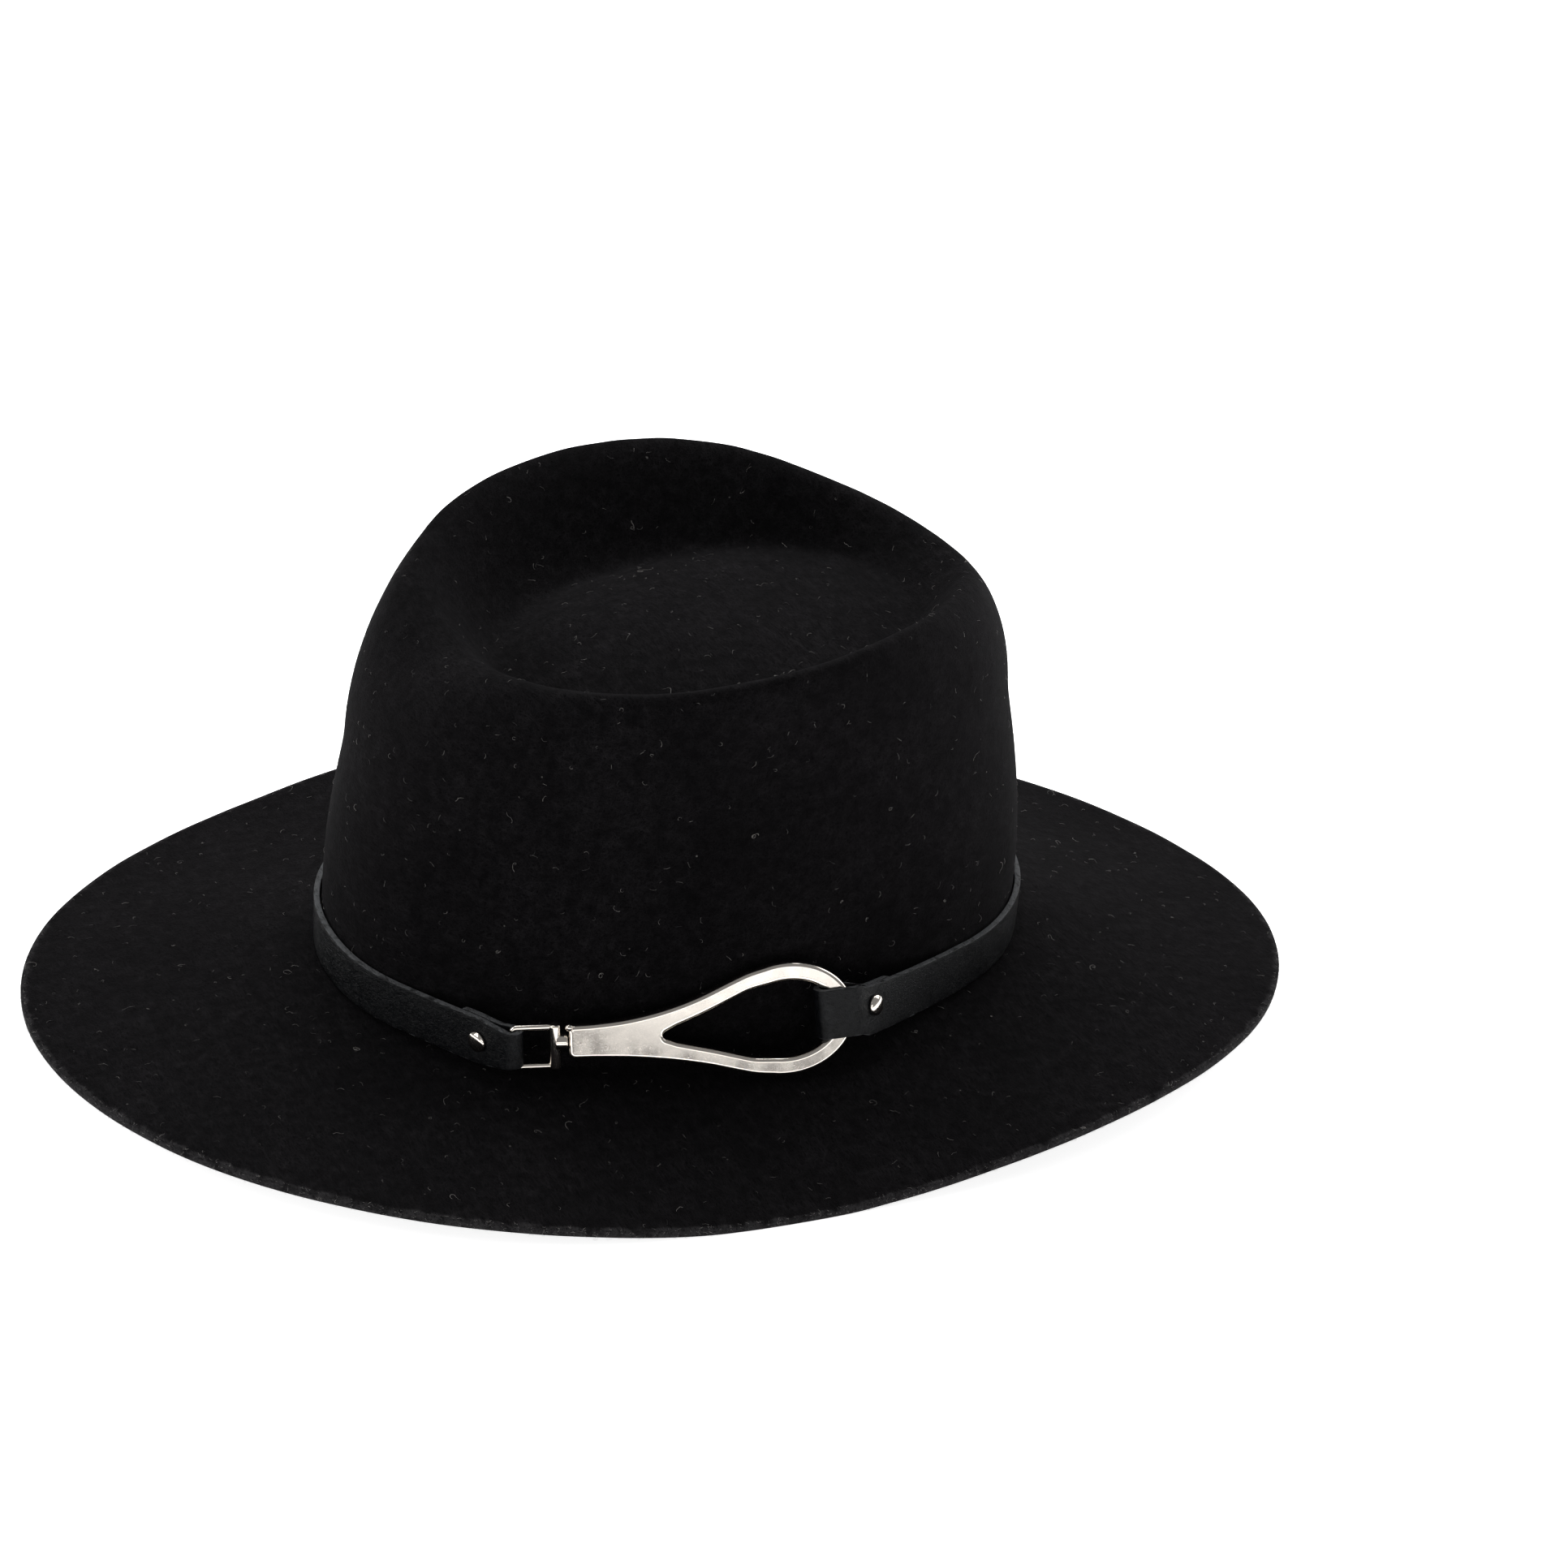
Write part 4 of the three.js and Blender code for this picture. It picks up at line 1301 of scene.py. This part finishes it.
@dataclass
class LooseFibres:
    """Wool fibres and lint that stand out of the felt's nap."""

    kind: FibreKind
    felt: bpy.types.Object
    seed: int
    edge_reach: float = 1.2

    def build(self) -> bpy.types.Object:
        """Scatters the fibres over the felt and makes them thin closed tubes.

        Returns:
            The finished mesh object.
        """
        draw = random.Random(self.seed)
        curve = bpy.data.curves.new(self.kind.name, "CURVE")
        curve.dimensions = "3D"
        curve.bevel_depth = self.kind.radius * MM
        curve.bevel_resolution = 0
        curve.use_fill_caps = True
        for point, normal in self.roots(draw):
            path = self.path(draw, point, normal)
            spline = curve.splines.new("POLY")
            spline.points.add(len(path) - 1)
            for i, (target, place) in enumerate(zip(spline.points, path)):
                target.co = (*place, 1.0)
                target.radius = 1.0 - 0.6 * i / len(path)
        fibres = bpy.data.objects.new(self.kind.name, curve)
        bpy.context.scene.collection.objects.link(fibres)
        select_only(fibres)
        bpy.ops.object.convert(target="MESH")
        fibres = bpy.context.object
        each = len(fibres.data.vertices) // self.kind.count
        shades = []
        for _ in range(self.kind.count):
            shades += [draw.uniform(*self.kind.shade)] * each
        set_point_values(fibres, "shade", shades)
        return fibres

    def roots(self, draw: random.Random) -> list[tuple[Vector, Vector]]:
        """Picks places on the felt by area.

        Args:
            draw: Seeded source of numbers.

        Returns:
            Pairs of a point and the surface's normal there.
        """
        mesh = self.felt.data
        distance = mesh.attributes["cut_distance"].data
        faces, weights = [], []
        for face in mesh.polygons:
            near = max(distance[v].value for v in face.vertices)
            if not self.kind.only_edge or near < self.edge_reach:
                faces.append(face)
                weights.append(face.area)
        roots = []
        for face in draw.choices(faces, weights=weights, k=self.kind.count):
            corners = [mesh.vertices[v].co for v in face.vertices]
            shares = [draw.random() for _ in corners]
            total = sum(shares)
            point = sum((c * s / total for c, s in zip(corners, shares)), Vector())
            roots.append((point, face.normal.copy()))
        return roots

    def path(self, draw: random.Random, point: Vector, normal: Vector) -> list[Vector]:
        """One fibre's curly path over the surface.

        Args:
            draw: Seeded source of numbers.
            point: Where the fibre starts.
            normal: Surface normal there.

        Returns:
            The path's points, in metres.
        """
        side = normal.orthogonal().normalized()
        other = normal.cross(side)
        heading = draw.uniform(0, 2 * math.pi)
        turn = draw.uniform(-1, 1) * self.kind.curl
        length = draw.uniform(*self.kind.length)
        lift = draw.uniform(0.3, 1.0) * self.kind.lift
        x = y = 0.0
        path = []
        for i in range(self.kind.steps + 1):
            k = i / self.kind.steps
            height = lift * math.sin(math.pi * min(k * 1.15, 1.0)) + 0.02
            if self.kind.only_edge:
                height = lift * k
            path.append(point + (side * x + other * y + normal * height) * MM)
            turn += draw.uniform(-1, 1) * self.kind.curl * 0.6
            heading += turn / self.kind.steps
            x += math.cos(heading) * length / self.kind.steps
            y += math.sin(heading) * length / self.kind.steps
        return path


class NodePen:
    """Adds and links the nodes of one shader tree."""

    def __init__(self, tree: bpy.types.NodeTree) -> None:
        """Starts on a tree."""
        self.tree = tree

    def add(self, kind: str, inputs: dict[str, object] | None = None, **settings: object) -> bpy.types.Node:
        """Adds a node.

        Args:
            kind: Node type without the ShaderNode prefix.
            inputs: Constant values or sockets for its inputs, by name.
            settings: Values of the node's own properties.

        Returns:
            The node.
        """
        node = self.tree.nodes.new(kind if kind.startswith("Node") else "ShaderNode" + kind)
        for name, value in settings.items():
            setattr(node, name, value)
        for name, value in (inputs or {}).items():
            self.feed(node.inputs[name], value)
        return node

    def feed(self, socket: bpy.types.NodeSocket, value: object) -> None:
        """Links a socket, or sets its constant value."""
        if isinstance(value, bpy.types.NodeSocket):
            self.tree.links.new(value, socket)
        else:
            socket.default_value = value

    def calc(self, operation: str, *values: object, clamp: bool = False) -> bpy.types.NodeSocket:
        """Result of one maths node."""
        node = self.add("Math", operation=operation, use_clamp=clamp)
        for socket, value in zip(node.inputs, values):
            self.feed(socket, value)
        return node.outputs[0]

    def span(self, value: object, low: float, high: float, to_low: float = 0.0,
             to_high: float = 1.0) -> bpy.types.NodeSocket:
        """A value mapped smoothly from one range to another."""
        node = self.add("MapRange", {"Value": value, "From Min": low, "From Max": high,
                                     "To Min": to_low, "To Max": to_high},
                        interpolation_type="SMOOTHSTEP")
        return node.outputs["Result"]

    def blend(self, share: object, first: object, second: object) -> bpy.types.NodeSocket:
        """Two colours mixed by a share."""
        node = self.add("Mix", data_type="RGBA")
        self.feed(node.inputs[0], share)
        self.feed(node.inputs[6], first)
        self.feed(node.inputs[7], second)
        return node.outputs[2]

    def bump(self, height: object, strength: float, distance: float,
             normal: object = None) -> bpy.types.NodeSocket:
        """Normal from a height, with its depth in millimetres."""
        inputs = {"Height": height, "Strength": strength, "Distance": distance * MM}
        if normal is not None:
            inputs["Normal"] = normal
        return self.add("Bump", inputs).outputs["Normal"]


def colour(red: float, green: float, blue: float) -> tuple[float, float, float, float]:
    """An opaque colour."""
    return (red, green, blue, 1.0)


def new_group(name: str, inputs: dict[str, float | None], output: str) -> tuple[bpy.types.NodeTree, NodePen,
                                                                                 dict, bpy.types.NodeSocket]:
    """Starts a shader node group with one value as its result.

    Args:
        name: Name of the group.
        inputs: Default of each input, or None for a vector.
        output: Name of the result.

    Returns:
        The group, a pen on it, its inputs by name, and the socket that takes the result.
    """
    group = bpy.data.node_groups.new(name, "ShaderNodeTree")
    for label, default in inputs.items():
        kind = "NodeSocketVector" if default is None else "NodeSocketFloat"
        socket = group.interface.new_socket(name=label, in_out="INPUT", socket_type=kind)
        if default is not None:
            socket.default_value = default
    group.interface.new_socket(name=output, in_out="OUTPUT", socket_type="NodeSocketFloat")
    pen = NodePen(group)
    entry = pen.add("NodeGroupInput")
    leave = pen.add("NodeGroupOutput")
    return group, pen, {label: entry.outputs[label] for label in inputs}, leave.inputs[output]


class Effects:
    """Shader effects that several finishes share, each built once as a node group."""

    def __init__(self) -> None:
        """Builds every group."""
        self.web = self.build_web()
        self.specks = self.build_specks()
        self.mottle = self.build_mottle()
        self.grain = self.build_grain()

    def build_web(self) -> bpy.types.NodeTree:
        """Crossing curly fibres: thin lines on stretched noise, in several directions."""
        group, pen, given, result = new_group(
            "fibre_web", {"Vector": None, "Scale": 400.0, "Thinness": 0.05}, "Fibres")
        layers = []
        for angles in ((0.3, 0.2, 0.4), (1.9, 0.7, 1.3), (0.9, 2.1, 2.6), (2.4, 1.2, 0.1)):
            turned = pen.add("Mapping", {"Vector": given["Vector"], "Rotation": angles,
                                         "Scale": (1.0, 0.22, 1.0)})
            noise = pen.add("TexNoise", {"Vector": turned.outputs[0], "Scale": given["Scale"],
                                         "Detail": 1.0, "Distortion": 0.7})
            offset = pen.calc("ABSOLUTE", pen.calc("SUBTRACT", noise.outputs[0], 0.5))
            layers.append(pen.calc("SUBTRACT", 1.0, pen.calc("DIVIDE", offset, given["Thinness"]), clamp=True))
        total = layers[0]
        for layer in layers[1:]:
            total = pen.calc("MAXIMUM", total, layer)
        pen.feed(result, total)
        return group

    def build_specks(self) -> bpy.types.NodeTree:
        """Sparse round specks, such as lint on cloth or pits in plating."""
        group, pen, given, result = new_group(
            "specks", {"Vector": None, "Scale": 200.0, "Share": 0.2, "Radius": 0.1}, "Mask")
        cells = pen.add("TexVoronoi", {"Vector": given["Vector"], "Scale": given["Scale"]})
        chosen = pen.calc("LESS_THAN", pen.add("SeparateColor", {"Color": cells.outputs["Color"]}).outputs[0],
                          given["Share"])
        near = pen.calc("SUBTRACT", 1.0, pen.calc("DIVIDE", cells.outputs["Distance"], given["Radius"]), clamp=True)
        pen.feed(result, pen.calc("MULTIPLY", chosen, near))
        return group

    def build_mottle(self) -> bpy.types.NodeTree:
        """Soft cloudy variation between 0 and 1."""
        group, pen, given, result = new_group(
            "mottle", {"Vector": None, "Scale": 40.0, "Contrast": 1.5}, "Value")
        noise = pen.add("TexNoise", {"Vector": given["Vector"], "Scale": given["Scale"], "Detail": 3.0})
        spread = pen.calc("MULTIPLY", pen.calc("SUBTRACT", noise.outputs[0], 0.5), given["Contrast"])
        pen.feed(result, pen.calc("ADD", spread, 0.5, clamp=True))
        return group

    def build_grain(self) -> bpy.types.NodeTree:
        """Fine leather grain: soft cells with creased borders."""
        group, pen, given, result = new_group(
            "leather_grain", {"Vector": None, "Scale": 1200.0, "Crease": 0.6}, "Height")
        warp = pen.add("TexNoise", {"Vector": given["Vector"], "Scale": pen.calc("MULTIPLY", given["Scale"], 0.3),
                                    "Detail": 2.0})
        moved = pen.add("MixRGB", {"Fac": 0.0015, "Color1": given["Vector"], "Color2": warp.outputs["Color"]},
                        blend_type="ADD")
        cells = pen.add("TexVoronoi", {"Vector": moved.outputs[0], "Scale": given["Scale"]},
                        feature="DISTANCE_TO_EDGE")
        border = pen.span(cells.outputs["Distance"], 0.0, 0.25)
        fine = pen.add("TexNoise", {"Vector": given["Vector"], "Scale": given["Scale"], "Detail": 3.0})
        mixed = pen.calc("MULTIPLY", border, given["Crease"])
        pen.feed(result, pen.calc("ADD", mixed, pen.calc("MULTIPLY", fine.outputs[0], 0.4)))
        return group


def new_material(name: str) -> tuple[bpy.types.Material, NodePen, bpy.types.Node, bpy.types.NodeSocket]:
    """Starts a material with one Principled shader.

    Args:
        name: Name of the material.

    Returns:
        The material, a pen on it, the shader and the Object coordinates.
    """
    material = bpy.data.materials.new(name)
    material.use_nodes = True
    material.node_tree.nodes.clear()
    pen = NodePen(material.node_tree)
    shader = pen.add("BsdfPrincipled")
    pen.add("OutputMaterial", {"Surface": shader.outputs[0]})
    place = pen.add("TexCoord").outputs["Object"]
    return material, pen, shader, place


def put_group(pen: NodePen, group: bpy.types.NodeTree, **inputs: object) -> bpy.types.NodeSocket:
    """Places an effect in a material and gives its result.

    Args:
        pen: Pen on the material.
        group: The effect.
        inputs: Values or sockets of its inputs.

    Returns:
        The result's socket.
    """
    node = pen.add("Group", node_tree=group)
    for name, value in inputs.items():
        pen.feed(node.inputs[name], value)
    return node.outputs[0]


@dataclass(frozen=True)
class FeltFinish:
    """Matt black wool felt with a short nap."""

    deep: tuple = colour(0.0009, 0.0008, 0.0010)
    light: tuple = colour(0.014, 0.0130, 0.0142)
    lint: tuple = colour(0.12, 0.115, 0.11)
    raw: tuple = colour(0.024, 0.023, 0.024)
    roughness: float = 0.95
    sheen: float = 0.014
    sheen_roughness: float = 0.45
    nap_scale: float = 1500.0
    web_scale: float = 420.0

    def build(self, effects: Effects) -> bpy.types.Material:
        """Builds the material.

        Args:
            effects: Shared node groups.

        Returns:
            The material.
        """
        material, pen, shader, place = new_material("wool_felt")
        cloud = put_group(pen, effects.mottle, Vector=place, Scale=28.0, Contrast=1.6)
        patch = put_group(pen, effects.mottle, Vector=place, Scale=260.0, Contrast=2.2)
        web = put_group(pen, effects.web, Vector=place, Scale=self.web_scale, Thinness=0.028)
        fine_web = put_group(pen, effects.web, Vector=place, Scale=self.web_scale * 2.3, Thinness=0.05)
        lint = put_group(pen, effects.specks, Vector=place, Scale=230.0, Share=0.05, Radius=0.09)
        nap = pen.add("TexNoise", {"Vector": place, "Scale": self.nap_scale, "Detail": 4.0, "Roughness": 0.65})
        cut = pen.add("Attribute", attribute_name="cut_distance").outputs["Fac"]
        fray = pen.span(pen.calc("SUBTRACT", cut, pen.calc("MULTIPLY", patch, 2.4)), 0.4, -1.6)
        tone = pen.calc("MULTIPLY", pen.calc("ADD", pen.calc("MULTIPLY", cloud, 0.5), 0.25),
                        pen.calc("ADD", patch, 0.25))
        hairs = pen.calc("MULTIPLY", pen.calc("MAXIMUM", web, pen.calc("MULTIPLY", fine_web, 0.6)), tone)
        body = pen.blend(hairs, self.deep, self.light)
        edged = pen.blend(pen.calc("MULTIPLY", fray, pen.calc("ADD", fine_web, 0.25, clamp=True)), body, self.raw)
        pen.feed(shader.inputs["Base Color"], pen.blend(lint, edged, self.lint))
        shader.inputs["Roughness"].default_value = self.roughness
        shader.inputs["Sheen Weight"].default_value = self.sheen
        shader.inputs["Sheen Roughness"].default_value = self.sheen_roughness
        shader.inputs["Sheen Tint"].default_value = colour(0.62, 0.58, 0.66)
        shader.inputs["Specular IOR Level"].default_value = 0.05
        height = pen.calc("ADD", pen.calc("MULTIPLY", nap.outputs[0], 0.6), pen.calc("MULTIPLY", fine_web, 0.5))
        soft = pen.bump(patch, 0.35, 0.35)
        pen.feed(shader.inputs["Normal"], pen.bump(height, 0.6, 0.22, soft))
        return material


@dataclass(frozen=True)
class FibreFinish:
    """Loose wool fibres, each with its own shade."""

    dark: tuple = colour(0.03, 0.028, 0.03)
    pale: tuple = colour(0.42, 0.40, 0.38)

    def build(self) -> bpy.types.Material:
        """Builds the material.

        Returns:
            The material.
        """
        material, pen, shader, _ = new_material("loose_fibre")
        shade = pen.add("Attribute", attribute_name="shade").outputs["Fac"]
        pen.feed(shader.inputs["Base Color"], pen.blend(shade, self.dark, self.pale))
        shader.inputs["Roughness"].default_value = 0.7
        return material


@dataclass(frozen=True)
class LeatherFinish:
    """Black grained leather with raw cut edges, lighter at its folds and scuffs: partly wear, partly painted sheen."""

    face: tuple = colour(0.0022, 0.0024, 0.0030)
    # Lighter bluish-grey tone for folds and scuffs: partly real wear, partly painted sheen on the folds.
    worn_and_sheen: tuple = colour(0.011, 0.0118, 0.0135)
    raw: tuple = colour(0.085, 0.088, 0.092)
    raw_dark: tuple = colour(0.012, 0.012, 0.013)

    def build(self, effects: Effects) -> bpy.types.Material:
        """Builds the material.

        Args:
            effects: Shared node groups.

        Returns:
            The material.
        """
        material, pen, shader, place = new_material("black_leather")
        cloud = put_group(pen, effects.mottle, Vector=place, Scale=90.0, Contrast=2.0)
        scuff = put_group(pen, effects.mottle, Vector=place, Scale=420.0, Contrast=3.0)
        grain = put_group(pen, effects.grain, Vector=place, Scale=1500.0, Crease=0.55)
        fibres = put_group(pen, effects.web, Vector=place, Scale=900.0, Thinness=0.09)
        cut = pen.add("Attribute", attribute_name="cut_edge").outputs["Fac"]
        bend = pen.add("Attribute", attribute_name="bend").outputs["Fac"]
        ragged = pen.span(pen.calc("ADD", cut, pen.calc("MULTIPLY", pen.calc("SUBTRACT", scuff, 0.5), 0.7)), 0.45, 0.8)
        # Mask of the lighter tone: faint random scuffs everywhere, stronger where the strap bends; partly wear, partly
        # painted sheen on the folds.
        wear_and_sheen = pen.calc("MULTIPLY", pen.calc("ADD", pen.calc("MULTIPLY", bend, 0.5), 0.18), scuff)
        face = pen.blend(wear_and_sheen, self.face, self.worn_and_sheen)
        raw = pen.blend(pen.calc("ADD", fibres, pen.calc("MULTIPLY", cloud, 0.4), clamp=True), self.raw_dark, self.raw)
        pen.feed(shader.inputs["Base Color"], pen.blend(ragged, face, raw))
        gloss = pen.span(cloud, 0.0, 1.0, 0.28, 0.42)
        dull = pen.calc("ADD", gloss, pen.calc("MULTIPLY", ragged, 0.45), clamp=True)
        pen.feed(shader.inputs["Roughness"], dull)
        shader.inputs["Specular IOR Level"].default_value = 0.2
        fuzz = pen.bump(fibres, 0.5, 0.12)
        pen.feed(shader.inputs["Normal"], pen.bump(grain, 0.35, 0.10, fuzz))
        return material


@dataclass(frozen=True)
class NickelFinish:
    """Polished warm nickel plate with faint handling marks."""

    plate: tuple = colour(0.86, 0.80, 0.73)
    tarnish: tuple = colour(0.30, 0.25, 0.21)

    def build(self, effects: Effects) -> bpy.types.Material:
        """Builds the material.

        Args:
            effects: Shared node groups.

        Returns:
            The material.
        """
        material, pen, shader, place = new_material("polished_nickel")
        haze = put_group(pen, effects.mottle, Vector=place, Scale=160.0, Contrast=2.5)
        pits = put_group(pen, effects.specks, Vector=place, Scale=900.0, Share=0.035, Radius=0.28)
        scratches = put_group(pen, effects.web, Vector=place, Scale=520.0, Thinness=0.006)
        pen.feed(shader.inputs["Base Color"], pen.blend(pen.calc("MULTIPLY", pits, haze), self.plate, self.tarnish))
        shader.inputs["Metallic"].default_value = 1.0
        rough = pen.span(haze, 0.0, 1.0, 0.07, 0.13)
        pen.feed(shader.inputs["Roughness"], pen.calc("ADD", rough, pen.calc("MULTIPLY", scratches, 0.12)))
        wave = pen.add("TexNoise", {"Vector": place, "Scale": 220.0, "Detail": 1.0})
        cast = pen.bump(wave.outputs[0], 0.05, 0.08)
        pen.feed(shader.inputs["Normal"], pen.bump(pits, 0.15, -0.03, cast))
        return material


@dataclass
class Studio:
    """White table, soft lights and the camera at the picture's angle."""

    stand: HatStand
    azimuth: float = -23.92
    elevation: float = 28.31
    roll: float = 1.84
    distance: float = 1400.0
    focal_pixels: float = 5782.0
    picture: float = 1932.0
    aim: tuple[float, float] = (826.36, 1133.75)
    sensor: float = 36.0

    def build_camera(self) -> bpy.types.Object:
        """Places the camera from its angles about the hat and the aim point in the picture.

        Returns:
            The camera object.
        """
        azimuth = math.radians(self.azimuth)
        elevation = math.radians(self.elevation)
        roll = math.radians(self.roll)
        level = math.cos(elevation)
        back = Vector((math.sin(azimuth) * level, -math.cos(azimuth) * level, math.sin(elevation)))
        right = Vector((math.cos(azimuth), math.sin(azimuth), 0.0))
        above = back.cross(right)
        rows = (right * math.cos(roll) + above * math.sin(roll),
                above * math.cos(roll) - right * math.sin(roll), back)
        half = self.picture / 2
        ray = Vector(((self.aim[0] - half) / self.focal_pixels, (half - self.aim[1]) / self.focal_pixels, -1.0))
        shift = Vector((0.0, 0.0, -1.0)).rotation_difference(ray.normalized()).to_matrix()
        turned = (shift @ Matrix(rows)).transposed().to_4x4()
        data = bpy.data.cameras.new("studio_camera")
        data.sensor_width = self.sensor
        data.lens = self.focal_pixels / self.picture * self.sensor
        data.clip_start = 0.05
        data.clip_end = 50.0
        camera = bpy.data.objects.new("studio_camera", data)
        camera.matrix_world = self.stand.matrix() @ Matrix.Translation(back * self.distance * MM) @ turned
        bpy.context.scene.collection.objects.link(camera)
        bpy.context.scene.camera = camera
        return camera

    def build_table(self) -> bpy.types.Object:
        """Lays the white table that the hat rests on."""
        select_only()
        bpy.ops.mesh.primitive_plane_add(size=8.0)
        table = bpy.context.object
        table.name = "white_table"
        material, _, shader, _ = new_material("white_table")
        shader.inputs["Base Color"].default_value = colour(0.93, 0.93, 0.93)
        shader.inputs["Roughness"].default_value = 0.7
        shader.inputs["Specular IOR Level"].default_value = 0.1
        shader.inputs["Emission Color"].default_value = colour(1.0, 1.0, 1.0)
        shader.inputs["Emission Strength"].default_value = 0.85
        table.data.materials.append(material)
        return table

    def build_light(self, name: str, place: tuple[float, float, float], size: tuple[float, float],
                    power: float) -> None:
        """Hangs one soft box that faces the hat.

        Args:
            name: Name of the light.
            place: Its place in metres.
            size: Its width and height in metres.
            power: Its power in watts.
        """
        data = bpy.data.lights.new(name, "AREA")
        data.shape = "RECTANGLE"
        data.size, data.size_y = size
        data.energy = power
        light = bpy.data.objects.new(name, data)
        light.location = place
        aim = Vector((0.0, 0.0, 0.06)) - Vector(place)
        light.rotation_euler = aim.to_track_quat("-Z", "Y").to_euler()
        bpy.context.scene.collection.objects.link(light)

    def build_world(self, strength: float) -> None:
        """Surrounds the table with even white light."""
        world = bpy.data.worlds.new("white_room")
        world.use_nodes = True
        background = world.node_tree.nodes["Background"]
        background.inputs["Color"].default_value = colour(1.0, 1.0, 1.0)
        background.inputs["Strength"].default_value = strength
        bpy.context.scene.world = world
        bpy.context.scene.view_settings.view_transform = "Standard"

    def build(self) -> None:
        """Sets up the whole studio."""
        self.build_camera()
        self.build_table()
        self.build_world(0.22)
        self.build_light("top_box", (0.25, 0.75, 1.6), (1.6, 1.2), 34.0)
        self.build_light("left_box", (-1.6, 0.1, 0.9), (1.0, 1.2), 9.0)
        self.build_light("right_box", (1.6, 0.1, 0.9), (1.0, 1.2), 9.0)
        self.build_light("low_front_box", (-0.55, -1.7, 0.42), (2.2, 0.5), 4.4)


FIBRE_KINDS = (
    FibreKind("nap_fibres", 2600, (0.9, 2.4), 2.5, 0.35, 0.028, 5, (0.0, 0.8)),
    FibreKind("curly_fibres", 240, (2.5, 5.5), 7.0, 0.6, 0.032, 12, (0.3, 1.0)),
    FibreKind("long_fibres", 26, (6.0, 10.0), 8.0, 0.8, 0.036, 20, (0.6, 1.0)),
    FibreKind("edge_fuzz", 2600, (0.3, 1.1), 2.5, 0.55, 0.026, 4, (0.0, 0.7), True),
)


@dataclass
class Fedora:
    """The whole hat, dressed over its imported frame."""

    stand: HatStand = field(default_factory=HatStand)
    block: HatBlock = field(default_factory=HatBlock)
    hook_place: HookPlace = field(default_factory=HookPlace)
    rivet_from_eye: float = 10.0
    rivet_from_ring: float = 5.6
    rivet_off_middle: float = 1.2
    fibre_seed: int = 20

    def dress(self, piece: bpy.types.Object, material: bpy.types.Material, slot: Slot,
              *nodes: str) -> None:
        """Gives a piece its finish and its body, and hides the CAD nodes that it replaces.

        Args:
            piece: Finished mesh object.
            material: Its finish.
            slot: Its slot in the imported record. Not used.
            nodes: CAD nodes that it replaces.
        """
        piece.data.materials.clear()
        piece.data.materials.append(material)
        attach(piece, BODY)
        if nodes:
            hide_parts(*nodes)
        piece.data.calc_loop_triangles()
        log.info("%s: %d triangles, %s", piece.name, len(piece.data.loop_triangles), material.name)

    def build(self) -> None:
        """Builds and dresses every piece, from the felt outwards."""
        effects = Effects()
        wool = FeltFinish().build(effects)
        fibre = FibreFinish().build()
        leather = LeatherFinish().build(effects)
        nickel = NickelFinish().build(effects)
        felt = FeltBody(self.block, self.stand).build()
        self.dress(felt, wool, Slot.FELT, "felt_body")
        for number, kind in enumerate(FIBRE_KINDS):
            fibres = LooseFibres(kind, felt, self.fibre_seed + number).build()
            self.dress(fibres, fibre, Slot.FELT)
        route = StrapRoute(self.block, self.hook_place)
        self.dress(Strap(route, self.stand).build(), leather, Slot.LEATHER, "strap")
        self.dress(Hook(self.hook_place, self.stand).build(), nickel, Slot.NICKEL, "hook_body")
        self.dress(SwivelEye(route, self.stand).build(), nickel, Slot.NICKEL, "swivel_eye")
        seats = {
            "left": (route.eye_stretch.at(self.rivet_from_eye, route.width), 0.0),
            "right": (route.ring_stretch.at(self.rivet_from_ring, route.width), self.rivet_off_middle),
        }
        for side, (station, off_middle) in seats.items():
            rivet = Rivet(f"{side}_rivet", station, self.stand, off_middle=off_middle).build()
            self.dress(rivet, nickel, Slot.NICKEL, f"rivet_{side}")


def main() -> None:
    """Builds the studio and the hat."""
    logging.basicConfig(level=logging.INFO, format="%(name)s %(message)s")
    fedora = Fedora()
    Studio(fedora.stand).build()
    fedora.build()


if __name__ == "__main__":
    main()
